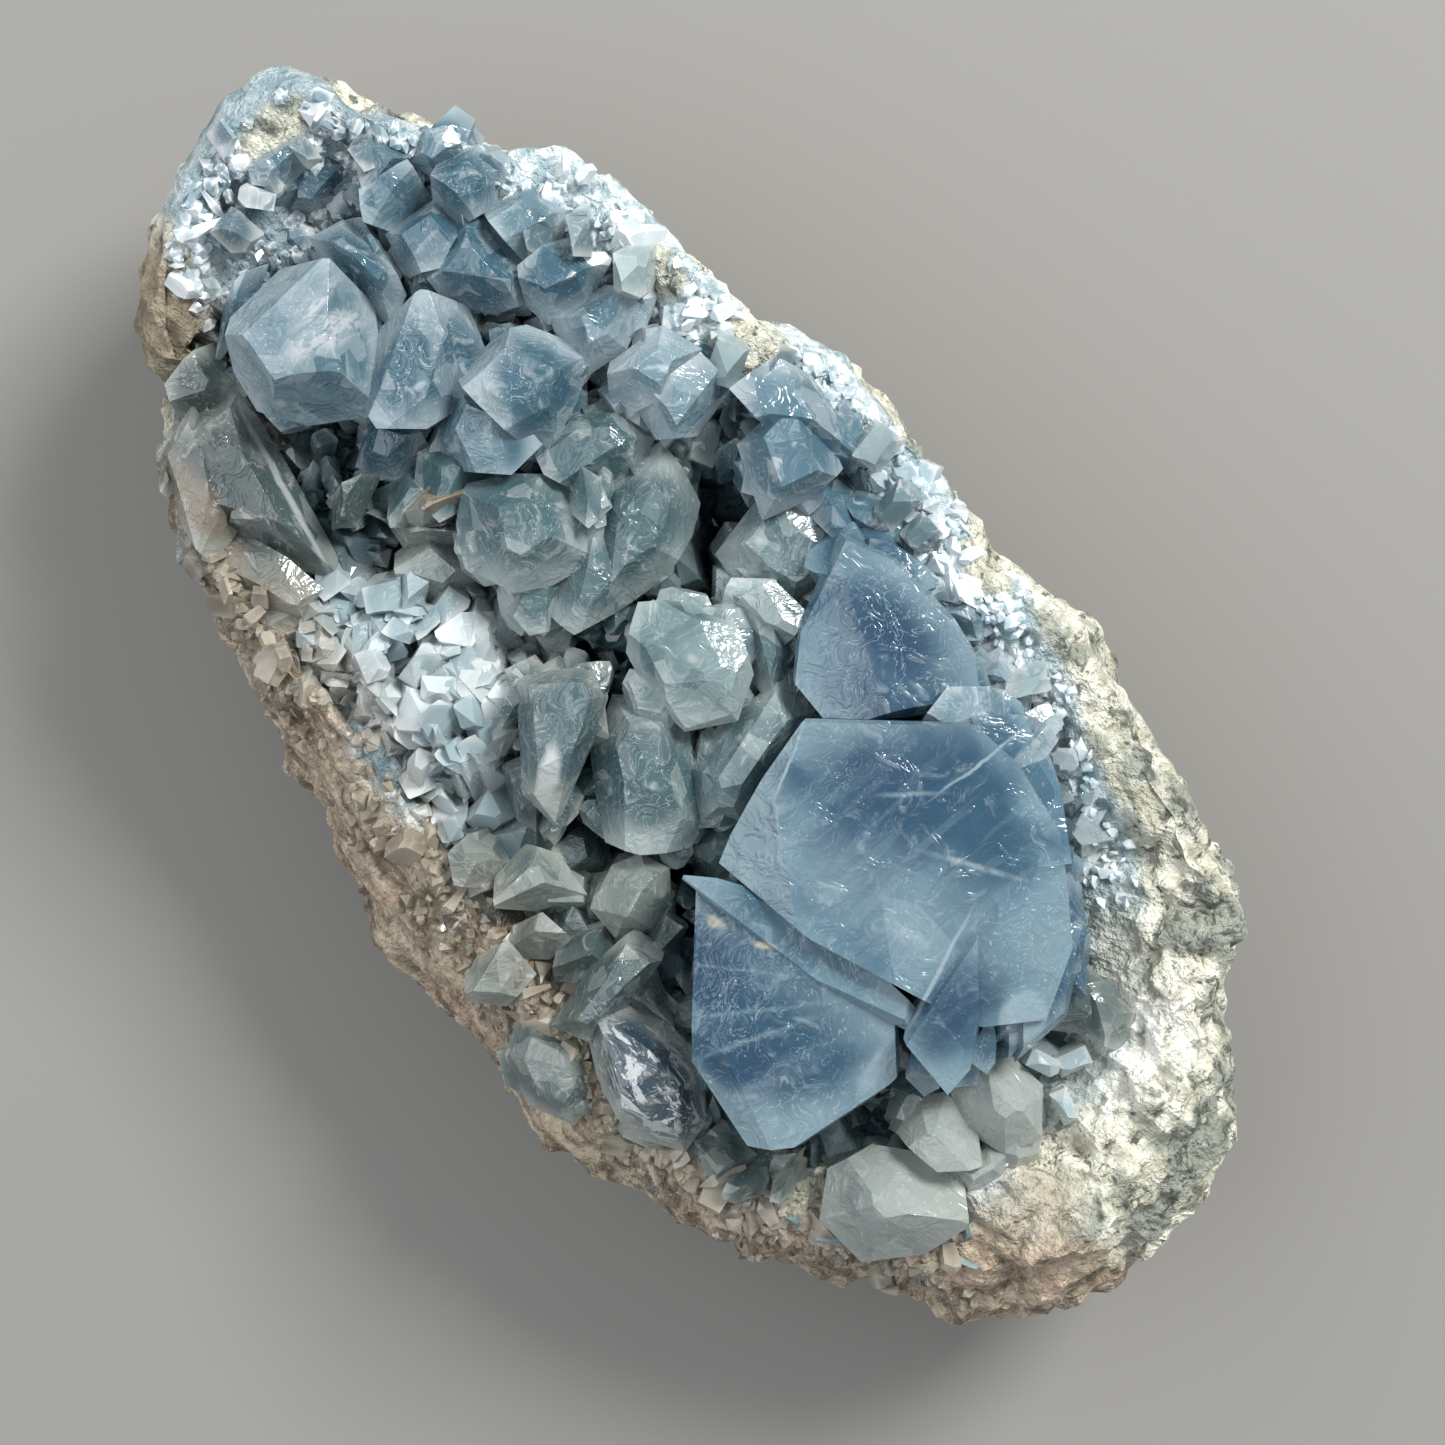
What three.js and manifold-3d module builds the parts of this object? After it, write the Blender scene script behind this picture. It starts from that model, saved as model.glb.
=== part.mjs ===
// A celestite crystal cluster: half of a marl nodule whose hollow is lined with blue crystals.
// Millimetres. +X runs along the length, +Y across it, +Z up out of the hollow. The stone lies on its back.
import * as THREE from "three";
import { ConvexGeometry } from "three/addons/geometries/ConvexGeometry.js";
import { mergeVertices } from "three/addons/utils/BufferGeometryUtils.js";
import Module from "manifold-3d";

const wasm = await Module();
wasm.setup();

// Heights above the ground that the stone lies on.
const GIRTH_Z = 25;
const CREST_Z = 46.5;
const LIP_Z = 43.5;
const FLOOR_Z = 27;
const LOW_SIDE_DROP = 6;

// Places are written as they are seen from straight above, measured on a level plane at FACE_Z.
// A thing below that plane looks smaller than it is, and spread() gives it back its size.
const FACE_Z = 50;
const EYE_ABOVE_FACE = 330;
const EYE_X = 2.4;
const EYE_Y = 3.6;
const CENTRE_X = -2.51;
const CENTRE_Y = -0.2;

// The rock.
const ROCK_AROUND = 60;
const LAYER_AROUND = 36;
const GIRTH_SHARE = 0.975;
const LUMP = 1.9;
const LUMP_SIZE = 14;
const GRAIN = 1.1;
const GRAIN_SIZE = 6;
const LEDGE = 1.2;
const LEDGE_RISE = 9;
const RIM_SWELL = 1.2;
const RIM_LUMP = 1.3;
const RIM_LUMP_SIZE = 8;
const GAP = 0.3;

// The thin layer that the crystals share at their roots.
const LAYER_OVER = 1.7;
const LAYER_UNDER = 4;
const ROOT_CLEAR = 0.8;
// Faces narrower than this, left where crystals cross at a low angle, are taken up by their neighbours.
const SLIVER = 0.05;

// How a crystal narrows below its widest place, for each millimetre down.
const UNDERCUT = 0.1;
// The share of a crystal's sides that run up to its top with no bevel.
const PLAIN_SIDES = 0.4;
const ROOT_ABOVE_ROCK = 0.7;

// The edge of the stone as seen from above, clockwise from its narrow end.
const EDGE = [
  [-85, 5], [-84, 12], [-80, 15], [-75, 18], [-70, 21], [-62, 25], [-57, 30], [-49, 33], [-40, 34.5],
  [-30, 35.5], [-25, 38.5], [-15, 39.5], [-7, 41.3], [0, 41.3], [8, 38.5], [12, 40], [20, 41], [30, 39],
  [40, 37], [55, 36], [60, 31.5], [63, 28], [66, 25], [70, 22], [74, 18], [77.5, 10], [78.5, 0],
  [75.5, -10], [70, -19], [62, -25.5], [54, -32], [43, -38], [30, -41], [10, -42], [-5, -42], [-16, -40],
  [-30, -35.7], [-45, -32.3], [-56, -27], [-63, -24], [-65, -22.5], [-67, -23], [-75, -17], [-80, -10],
  [-84, -1],
];

// The crystals. ring is the outline at the widest place and z its height there. Each face on top is
// [x, y, height, slope along X, slope along Y], and the lowest of them counts. bevel is the steepness of
// the faces between the outline and the top.
const GREAT_BLUE = [
  {
    ring: [[8, 11], [10, 3], [12.5, -4], [15, -9], [27, -4.2], [39.5, -1.4], [47, 4], [54, 11], [47, 17.5],
      [36, 24.5], [28, 25.5], [20, 24]],
    z: 48, bevel: 2.4,
    faces: [[14, 8, 55, 0.3, 0.02], [28, 17, 58.6, 0.03, -0.04], [30, 4, 57.6, 0.02, 0.14],
      [42, 14, 55, -0.4, -0.1]],
  },
  {
    ring: [[13, -12], [15.5, -9.2], [20, -6], [28, -4.6], [39.5, -2], [44.5, -6], [45, -11], [44, -19.5],
      [41, -24], [37, -27], [33.5, -27], [29, -23], [21, -22], [16, -16.5]],
    z: 45, bevel: 2.4,
    faces: [[28, -6, 51.2, 0.03, -0.45], [20, -15, 51, 0.12, 0.14], [36, -15, 52, -0.12, 0.12]],
  },
  {
    ring: [[36.5, 10.8], [41, 11], [45, 6], [48.5, 3], [49.5, -3.5], [42, -3.2], [40, -0.8]],
    z: 52, bevel: 3, faces: [[42, 4, 58.6, -0.3, -0.05], [38.5, 6, 58, 1.1, 0.4]],
  },
  {
    ring: [[41.5, 11], [45, 13], [49.5, 10.5], [50, 7], [48.5, 3.5], [45, 6]],
    z: 46, bevel: 1.4, faces: [[46, 8, 53, -0.25, -0.3]],
  },
  {
    ring: [[-5, 27], [0, 29.5], [5, 30.3], [10, 30.5], [16, 29], [18.5, 27], [15, 20], [9, 13], [4, 13],
      [0, 17]],
    z: 46, bevel: 2, faces: [[6, 24, 52.6, 0.02, -0.02], [6, 17, 51.4, 0.04, 0.3]],
  },
];

const BLUE_GROUP = [
  { ring: [[-67, -2], [-66.5, -9], [-62, -12.3], [-57.5, -13], [-53, -10], [-50, -5], [-53.5, 0],
    [-58, 3], [-63, 2]], z: 46, bevel: 1.6,
    faces: [[-63, -4, 53.4, 0.3, 0.03], [-56, -5, 53.8, -0.22, 0.05]] },
  { ring: [[-69, -3], [-67, -1], [-65.5, -8], [-63, -12], [-65, -13], [-68.5, -9]], z: 42, bevel: 2,
    faces: [[-66, -7, 46.5, 0.2, 0]] },
  { ring: [[-68, 2], [-67, 7], [-62, 8], [-57, 7], [-55, 3], [-58, 1.5], [-64, 2.5]], z: 45, bevel: 1.8,
    faces: [[-62, 5, 50.8, 0, -0.25]] },
  { ring: [[-55, 2], [-54, 8], [-51, 11], [-46.5, 9.5], [-43.5, 5], [-44, 0], [-47, -3.5], [-52, -3]],
    z: 45, bevel: 1.3, faces: [[-50, 4, 51, 0.06, 0.06]] },
  { ring: [[-45.5, 6], [-46, 11], [-45, 15], [-41, 17.2], [-37.5, 17], [-35.5, 13.5], [-34, 9.5],
    [-34.5, 7], [-41, 6.5]], z: 47, bevel: 1.8,
    faces: [[-41, 11, 53, 0.03, 0], [-36.5, 10, 51.6, -0.6, 0.1]] },
  { ring: [[-45, 5], [-41, 7], [-34.5, 7.3], [-34.2, 3.5], [-38.5, -1], [-42, -0.3]], z: 45, bevel: 2,
    faces: [[-39, 4, 50.5, 0, 0.3]] },
  { ring: [[-59.5, 17], [-57, 19.5], [-50, 19.7], [-47.5, 17], [-49, 13.5], [-53, 10.5], [-57.5, 11]],
    z: 45, bevel: 1.6, faces: [[-54, 15.5, 50.6, 0, 0.15]] },
  { ring: [[-63, 10], [-62.5, 16.5], [-58.5, 17], [-56.5, 12], [-58, 9]], z: 45, bevel: 1.8,
    faces: [[-60, 13, 49.6, 0.2, 0.1]] },
  { ring: [[-67.5, 11], [-66.5, 16], [-63.5, 16], [-62.5, 11], [-65, 9.5]], z: 44, bevel: 1.5,
    faces: [[-65, 13, 48.6, -0.2, 0.1]] },
  { ring: [[-65.5, 20], [-64, 24], [-60.5, 24.5], [-58, 21], [-58.5, 17], [-62.5, 16.5]], z: 46,
    bevel: 1.5, faces: [[-62, 20, 50.4, 0.1, -0.1]] },
  { ring: [[-69, 19], [-67, 22.5], [-64.5, 22], [-65, 18], [-67.5, 17]], z: 43, bevel: 2,
    faces: [[-67, 20, 46.4, 0, 0.1]] },
  { ring: [[-50, 19], [-49.5, 25], [-45, 26.5], [-43, 22], [-44, 17.5], [-47, 17]], z: 46, bevel: 1.7,
    faces: [[-47, 22, 51, 0.2, -0.1]] },
  { ring: [[-44, 18], [-43, 24.5], [-39, 26], [-36.5, 22], [-37, 17.5], [-41, 17]], z: 46, bevel: 1.7,
    faces: [[-40, 21, 50.6, -0.2, -0.1]] },
  { ring: [[-58, 20], [-57, 25.5], [-52.5, 27], [-50, 24], [-50.5, 20]], z: 46, bevel: 1.5,
    faces: [[-54, 23, 50, 0.1, -0.1]] },
  { ring: [[-71, 13], [-70, 17.5], [-67, 18.5], [-66.5, 14], [-68, 11.5]], z: 45, bevel: 1.6,
    faces: [[-69, 15, 49, 0, 0.2]] },
  { ring: [[-75, 6], [-74, 12], [-70.5, 12.5], [-69.5, 6], [-72, 3.5]], z: 40, bevel: 2,
    faces: [[-72, 8, 43.6, 0.1, 0]] },
  { ring: [[-79, 4], [-78, 9], [-75, 9], [-74.3, 4.5], [-76.5, 2.5]], z: 45, bevel: 1.6,
    faces: [[-77, 6, 48.6, -0.1, -0.2]] },
  { ring: [[-49, -4], [-46, -1.5], [-42, -2], [-41.5, -7], [-45.5, -9]], z: 41, bevel: 1.5,
    faces: [[-45, -5, 45.4, 0.1, 0.1]] },
];

const MIDDLE_GROUP = [
  { ring: [[-26, 17.5], [-22, 17.8], [-18, 16.8], [-16, 14], [-14.5, 9.5], [-15, 3], [-19, 2], [-24, 6],
    [-26, 12]], z: 43, bevel: 1.4, faces: [[-20, 10, 49, -0.1, -0.06]] },
  { ring: [[-33.5, 3], [-30, 6.5], [-25, 6.5], [-21, 4.5], [-22, -1], [-24, -4.5], [-29, -6.5],
    [-33, -4.5], [-35.5, -1]], z: 46, bevel: 1.1, faces: [[-29, 0, 51.4, 0.02, 0.06]] },
  { ring: [[-35, 12], [-32, 17], [-27, 17.8], [-25, 14], [-26, 9], [-31, 7], [-35, 8]], z: 44,
    bevel: 1.4, faces: [[-30, 12, 49.2, 0.08, 0.1]] },
  { ring: [[-30, 9], [-27, 10.5], [-24, 9.5], [-24, 6.5], [-26.5, 5.8]], z: 47, bevel: 1.5,
    faces: [[-27, 8, 51, 0.1, -0.2]] },
  { ring: [[-22, 4.5], [-20, 8.5], [-16, 8], [-14.8, 3], [-16, -2], [-20, -3], [-22, 0]], z: 43,
    bevel: 1.5, faces: [[-18, 3, 48, -0.1, -0.15]] },
  { ring: [[-24, 1], [-20, 0], [-17.5, -3], [-19, -6], [-23, -6], [-25, -3]], z: 42, bevel: 1.6,
    faces: [[-21, -3, 46, -0.1, 0.2]] },
  { ring: [[-41, 1], [-36, 3], [-34, -1], [-35, -5.5], [-39, -6], [-42, -3]], z: 43, bevel: 1.5,
    faces: [[-38, -2, 47.6, 0.1, 0]] },
  { ring: [[-13, 5], [-10, 8.8], [-6, 11.3], [0, 9.3], [2.6, 5], [0, 0.2], [-5, -0.3], [-10, 0.8]],
    z: 47, bevel: 1.5, faces: [[-5, 5, 52, 0, 0.04], [-11, 5, 51, 0.6, 0]] },
  { ring: [[-8.5, 13], [-7, 16], [-4, 18], [0, 18], [2, 14.5], [6.5, 11], [5, 9.5], [0, 9.5], [-5, 11.5]],
    z: 45, bevel: 1.5, faces: [[-1, 13, 50, 0, 0.12]] },
  { ring: [[-6.5, 13], [-5.5, 17.5], [-1, 18], [0, 14], [-3, 12.5]], z: 47, bevel: 1.5,
    faces: [[-3, 15, 51, 0.1, 0.1]] },
  { ring: [[-13.5, 22], [-10, 27], [-5, 27.5], [-1, 22], [-2, 17], [-8, 15.2], [-12, 15.5]], z: 43,
    bevel: 1.5, faces: [[-7, 21, 48, 0.05, 0.1]] },
  { ring: [[4, 12.5], [8, 11.5], [10, 5], [11.5, -2], [9, -5], [4, -2], [2.5, 4]], z: 44, bevel: 1.8,
    faces: [[7, 4, 50, 0.3, 0.02]] },
  { ring: [[-7, -4], [-4, -0.8], [0, 0.3], [5, -2.8], [9, -5], [10, -8], [7, -12], [4, -14.2], [0, -12],
    [-4, -9.5]], z: 44, bevel: 1.3, faces: [[1, -6, 49.4, 0.02, -0.03], [2, -11, 48, 0, 0.4]] },
  { ring: [[-3, -9], [-3.5, -12], [-1.5, -15.5], [1, -12.5], [0.5, -9.5]], z: 40, bevel: 1.5,
    faces: [[-1, -12, 44, 0, 0.1]] },
  { ring: [[-0.5, -16], [2, -14], [6.5, -16], [6, -19.5], [2, -20], [-0.5, -18.5]], z: 35, bevel: 1.5,
    faces: [[3, -17, 39, 0.1, 0]] },
];

const RIM_CRYSTALS = [
  { ring: [[-36, 20], [-35.5, 26.5], [-31, 28], [-29, 24], [-30.5, 18.5], [-33.5, 17.8]], z: 47,
    bevel: 1.5, faces: [[-33, 23, 51.6, 0.1, -0.1]] },
  { ring: [[-30, 19], [-29.5, 27], [-25.5, 27.5], [-24, 22], [-26.5, 18.5]], z: 46, bevel: 1.6,
    faces: [[-27, 23, 51, -0.2, -0.1]] },
  { ring: [[-24.3, 28.5], [-24, 33.5], [-20.5, 35.7], [-16, 35], [-12.5, 32.5], [-16, 29]], z: 49,
    bevel: 1.6, faces: [[-20, 32, 53.4, 0.15, -0.2]] },
  { ring: [[-20, 31], [-16.8, 33.2], [-11, 31.7], [-10.8, 27], [-12.2, 22], [-19.8, 25]], z: 49,
    bevel: 2.2, faces: [[-16, 28, 54.6, 0, 0.06]] },
  { ring: [[-11, 29], [-8, 31], [-4.5, 29], [-4.5, 26.5], [-9, 26]], z: 47, bevel: 1.2,
    faces: [[-8, 28, 50.6, 0.1, -0.3]] },
  { ring: [[-19, 34.5], [-14, 37], [-9, 34.5], [-11, 32.5], [-16, 33]], z: 47, bevel: 1.2,
    faces: [[-14, 35, 50.4, 0.1, -0.2]] },
  { ring: [[-8, 30], [-5, 33], [1, 32], [3, 30.5], [-2, 29]], z: 46, bevel: 1.5,
    faces: [[-3, 31, 48.6, 0.05, 0.1]] },
  { ring: [[8, 31], [9, 34], [13, 33.5], [14, 31], [11, 29.5]], z: 45, bevel: 1.5,
    faces: [[11, 32, 48.4, 0.1, -0.2]] },
  { ring: [[15.5, 29.5], [16, 32.5], [21, 31.5], [22, 30], [19, 28.5]], z: 46, bevel: 1.5,
    faces: [[19, 30.5, 49.6, 0.05, 0.2]] },
  { ring: [[17, 20.5], [16, 25], [20, 29.5], [23.5, 28], [23, 22.5], [20, 21]], z: 51, bevel: 2,
    faces: [[20, 25, 56, 0.25, 0.1]] },
  { ring: [[24.5, 20], [23.5, 29.5], [27, 29.5], [28.5, 24], [26.5, 18]], z: 51, bevel: 2.2,
    faces: [[26, 25, 57, -0.3, 0.1]] },
];

const LEDGE_CRYSTALS = [
  { ring: [[-60, -14], [-50, -15.5], [-40, -17.5], [-38.5, -19.5], [-43, -22], [-50, -24], [-57, -23.5],
    [-61.5, -19.5]], z: 39, bevel: 1.5,
    faces: [[-50, -19, 44.4, 0.02, 0.14], [-50, -15.5, 44.4, -0.05, -0.8]] },
  { ring: [[-62, -19], [-55, -21], [-49, -24], [-48, -28], [-53, -28], [-60, -25]], z: 36, bevel: 1.6,
    faces: [[-55, -24, 40.4, 0.05, 0.25]] },
  { ring: [[-48, -24], [-42, -22], [-36.5, -21], [-36, -25], [-40, -27.5], [-46, -29.5]], z: 38.5,
    bevel: 1.6, faces: [[-42, -25, 42.4, -0.1, 0.2]] },
  { ring: [[-44.5, -13.5], [-43, -8], [-40.5, -13.5], [-42, -15.5]], z: 41, bevel: 2.6,
    faces: [[-43, -11, 47, -0.2, 0.6]] },
  { ring: [[-39, -6], [-36.5, -1.5], [-34.5, -4], [-35.5, -8], [-38.5, -9]], z: 44, bevel: 2,
    faces: [[-37, -5, 48.6, 0.4, 0.2]] },
  { ring: [[-35, -7], [-31, -6], [-27, -8], [-27, -12], [-31, -14], [-35, -12]], z: 38, bevel: 1.4,
    faces: [[-31, -10, 42.4, 0.1, 0.1]] },
  { ring: [[-66, -13], [-61, -13.5], [-60, -17], [-62, -20.5], [-65, -19]], z: 40, bevel: 1.4,
    faces: [[-63, -16, 44.4, 0, 0.2]] },
  { ring: [[-11, -4], [-8, -5], [-6, -8], [-2, -16], [-1.4, -18], [-3.3, -20], [-6, -18], [-11, -18.5],
    [-15, -15], [-15, -10], [-13, -6.5]], z: 46, bevel: 1.8,
    faces: [[-9, -11, 52, 0.08, 0.08], [-5, -14.5, 51, -0.55, 0.25]] },
  { ring: [[-1, -22], [2, -20], [7, -20.5], [5, -25.5], [2, -28], [-0.5, -26.5]], z: 42, bevel: 1.4,
    faces: [[3, -24, 46.4, 0.2, 0.15]] },
  { ring: [[-6, -25], [-4, -24], [-0.8, -24.5], [-0.5, -28], [-3, -30], [-5.5, -28.5]], z: 41,
    bevel: 1.4, faces: [[-3, -27, 45, 0.05, 0.1]] },
  { ring: [[5, -28.5], [6, -25.5], [9.5, -25], [10, -28], [8, -30.3], [5.5, -30]], z: 41, bevel: 1.4,
    faces: [[7, -28, 45.2, 0.2, 0.1]] },
  { ring: [[5, -34], [6, -30.5], [10, -30.5], [10.8, -35], [8.5, -37.2], [6, -36.5]], z: 40, bevel: 1.5,
    faces: [[8, -34, 43.4, 0, 0.15]] },
  { ring: [[10, -23], [11, -20.5], [13.5, -22], [14, -26], [12, -28.5], [10, -26.5]], z: 42, bevel: 1.5,
    faces: [[12, -25, 46.2, 0.3, 0]] },
  { ring: [[7, -16], [8, -13], [11, -11.7], [14, -14], [15, -17], [13, -20.5], [9, -20.5]], z: 43,
    bevel: 1.5, faces: [[11, -16, 48.2, 0.05, 0.1]] },
  { ring: [[14, -19], [17.5, -18], [19.5, -24], [20, -30], [16, -32], [14, -25]], z: 44, bevel: 1.8,
    faces: [[17, -25, 49, 0.1, 0.12]] },
  { ring: [[13, -34], [16, -32], [20, -31], [25, -33], [25.5, -37.5], [21, -39.8], [15.5, -38.5]],
    z: 39.5, bevel: 1.3, faces: [[19, -36, 43.5, 0, 0.3]] },
  { ring: [[19.5, -25], [24, -22.8], [30, -22.8], [34.5, -26.5], [35.5, -30], [31, -33], [24, -32],
    [20, -30]], z: 43, bevel: 1.5, faces: [[24, -27, 48.4, 0.25, 0.1], [31, -28, 48, -0.3, 0.2]] },
  { ring: [[35, -27.5], [38, -25.5], [41.5, -24.5], [42, -29], [40.8, -31.5], [37, -30]], z: 40,
    bevel: 1.6, faces: [[39, -28, 44.4, -0.1, 0.1]] },
  { ring: [[18, -19.5], [21, -20.5], [25, -22.5], [20, -24], [18.5, -22]], z: 43, bevel: 1.5,
    faces: [[20, -22, 47, 0.1, 0.1]] },
  { ring: [[48.5, -19], [49.5, -14], [53, -11], [58, -9], [61.5, -12], [61.5, -17], [58, -22.5],
    [52, -23]], z: 43, bevel: 0.9, faces: [[55, -16, 49, -0.02, 0.06]] },
  { ring: [[48.7, -6.5], [50, -4], [55, -4], [57.5, -6], [55, -9.5], [50, -10.5]], z: 44, bevel: 1.4,
    faces: [[53, -7, 48.8, -0.1, 0.3]] },
  { ring: [[49, 0], [51, 4], [56, 4.5], [60, 1], [59, -3], [54, -4.5], [50, -3]], z: 44, bevel: 1.2,
    faces: [[54, 0, 48.8, -0.1, 0.2]] },
  { ring: [[57, -4], [59.5, -1.5], [61, -5], [60, -9.5], [56.5, -8.5]], z: 42, bevel: 1.6,
    faces: [[59, -6, 45.8, 0.1, 0.1]] },
  { ring: [[46, 13], [48, 17], [53, 17.5], [55, 13], [52, 10], [48.5, 10.5]], z: 42, bevel: 1.4,
    faces: [[50, 14, 46, -0.1, -0.1]] },
  { ring: [[50, 14], [52, 18], [57, 18.5], [58.5, 14], [54, 12.5]], z: 42, bevel: 1.3,
    faces: [[54, 16, 45.6, -0.1, 0]] },
  { ring: [[41.2, -27], [43.5, -24.5], [45.5, -26], [45, -29], [42.5, -29.5]], z: 41, bevel: 1.5,
    faces: [[43.5, -27, 45, 0.1, 0]] },
  { ring: [[44.5, -20], [47.5, -24], [46, -25.5], [44.5, -24]], z: 41, bevel: 2.4,
    faces: [[45, -23, 46, 0.1, 0.3]] },
];

// Loose groups of small crystals: [x, y, height of the tip, width].
const SMALL_CRYSTALS = [
  [-32, -20, 43, 6], [-30, -24, 41, 6], [-28, -17, 45, 6], [-26, -21, 46, 6], [-24, -14.5, 45, 5.5],
  [-24, -24.5, 43, 5.5], [-22, -18, 48, 6], [-21, -22.5, 46, 5], [-19, -14.5, 48, 5.5], [-18, -19.5, 48, 6],
  [-17, -23.5, 44, 5], [-14, -20.5, 47, 5], [-12.5, -24, 45, 5], [-16, -10.5, 46, 5], [-21, -10.5, 44, 5],
  [-10, -21.5, 46, 4.5], [-8, -25, 44, 4.5], [-28.5, -28.5, 39, 5], [-34, -24, 40, 4.5], [63, -12, 43.5, 5],
  [66, -14.5, 42, 5], [62.5, -17.5, 42, 5], [54, -24.5, 42, 4.5], [50, -26, 42, 4.5], [57, 9, 45, 4.5],
  [60, 5, 44.5, 4.5], [55, 7, 46, 4.5], [47.5, 20, 46, 4.5], [42, 23, 47, 4.5], [38, 27, 48, 5],
  [33, 28, 49, 5], [30, 31, 49, 4.5], [44, 26, 47, 4.5], [1, -31, 41, 4.5], [12, -31, 42, 4.5],
];

// Small crystals that a loop sets over the hollow and over the rim: how many, from where on the slope
// to where (0 is the crest, 1 the middle of the floor), and how wide.
const HOLLOW_DRUSE = { count: 60, from: 0.24, to: 0.8, width: 6.6 };
const RIM_DRUSE = { count: 40, from: 0.04, to: 0.2, width: 5.2 };
const GOLDEN_STEP = 0.61803398875;

const clamp01 = (v) => Math.min(1, Math.max(0, v));
const smooth = (from, to, v) => {
  const t = clamp01((v - from) / (to - from));
  return t * t * (3 - 2 * t);
};
const mix = (a, b, t) => a + (b - a) * t;

// A steady pseudo-random number between 0 and 1 for three numbers.
function chance(i, j, k) {
  const s = Math.sin(i * 127.1 + j * 311.7 + k * 74.7) * 43758.5453;
  return s - Math.floor(s);
}

// Smooth lumps between -1 and 1, one or so for each unit.
function lumps(x, y, z) {
  const [i, j, k] = [Math.floor(x), Math.floor(y), Math.floor(z)];
  const [u, v, w] = [smooth(0, 1, x - i), smooth(0, 1, y - j), smooth(0, 1, z - k)];
  const row = (b, c) => mix(chance(i, j + b, k + c), chance(i + 1, j + b, k + c), u);
  const level = (c) => mix(row(0, c), row(1, c), v);
  return mix(level(0), level(1), w) * 2 - 1;
}

function spread(x, y, z) {
  const larger = (EYE_ABOVE_FACE + FACE_Z - z) / EYE_ABOVE_FACE;
  return [EYE_X + (x - EYE_X) * larger - CENTRE_X, EYE_Y + (y - EYE_Y) * larger - CENTRE_Y];
}

// The point at a share, 0 to 1, of the way round a closed line of points.
function along(points) {
  const next = (i) => points[(i + 1) % points.length];
  const lengths = points.map((p, i) => Math.hypot(next(i)[0] - p[0], next(i)[1] - p[1]));
  const whole = lengths.reduce((sum, l) => sum + l, 0);
  return (share) => {
    let rest = (share - Math.floor(share)) * whole;
    let i = 0;
    while (rest > lengths[i] && i < points.length - 1) {
      rest -= lengths[i];
      i += 1;
    }
    const t = rest / lengths[i];
    return [mix(points[i][0], next(i)[0], t), mix(points[i][1], next(i)[1], t)];
  };
}
const edgeAt = along(EDGE);

// How far inside the edge the crest of the low side lies, [x, distance]: the rind shows as a band there.
const LOW_CREST = [
  [-85, 2], [-78, 6], [-70, 10], [-65, 8], [-62, 2.6], [-48, 2.6], [-40, 6], [-32, 8], [-10, 9.5], [12, 9],
  [45, 7.5], [60, 5], [78, 3],
];
function lowCrestAt(x) {
  const i = Math.max(1, LOW_CREST.findIndex(([place]) => place >= x));
  const [[x0, d0], [x1, d1]] = [LOW_CREST[i - 1], LOW_CREST[i]];
  return mix(d0, d1, clamp01((x - x0) / (x1 - x0)));
}

// What the stone measures at a share of the way round: its edge, and how far inside that the crest and
// the lip of the hollow lie.
function section(share) {
  const [x, y] = edgeAt(share);
  const angle = Math.atan2(y / 42, x / 82);
  const low = smooth(0.1, 0.7, -Math.sin(angle));
  const blunt = smooth(0.45, 0.95, Math.cos(angle)) * (1 - 0.4 * low);
  const inward = Math.hypot(x, y);
  const inside = (distance) => [x * (1 - distance / inward), y * (1 - distance / inward)];
  const crestIn = mix(2.2, lowCrestAt(x), low) + 3 * blunt;
  return {
    edge: [x, y],
    crest: inside(crestIn),
    lip: inside(crestIn + 7.3 - 3.5 * low + 5 * blunt),
    crestZ: CREST_Z - LOW_SIDE_DROP * low - 2 * blunt,
    lipZ: LIP_Z - LOW_SIDE_DROP * 0.7 * low - 1.5 * blunt,
    low,
    blunt,
  };
}

// A point of the outside, from the middle of the base at 0 by the girth at 1 up to the crest at 2.
const OUTSIDE = [
  [0, 0, 0], [0.45, 0.45, 0], [0.56, 0.58, 1.4], [0.68, 0.7, 4.5], [0.8, 0.82, 9], [0.9, 0.915, 14.5],
  [0.965, 0.97, 20],
];
const UPPER_ROWS = 4;
function outsidePoint(share, row) {
  const s = section(share);
  if (row < OUTSIDE.length) {
    const [shareX, shareY, z] = OUTSIDE[row];
    const [x, y] = spread(s.edge[0] * GIRTH_SHARE, s.edge[1] * GIRTH_SHARE, GIRTH_Z);
    return [x * shareX, y * shareY, z];
  }
  const up = (row - OUTSIDE.length) / UPPER_ROWS;
  const girth = spread(s.edge[0] * GIRTH_SHARE, s.edge[1] * GIRTH_SHARE, GIRTH_Z);
  const crest = spread(s.crest[0], s.crest[1], s.crestZ);
  const bulge = up * up;
  return [mix(girth[0], crest[0], bulge), mix(girth[1], crest[1], bulge), mix(GIRTH_Z, s.crestZ, up)];
}

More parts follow.
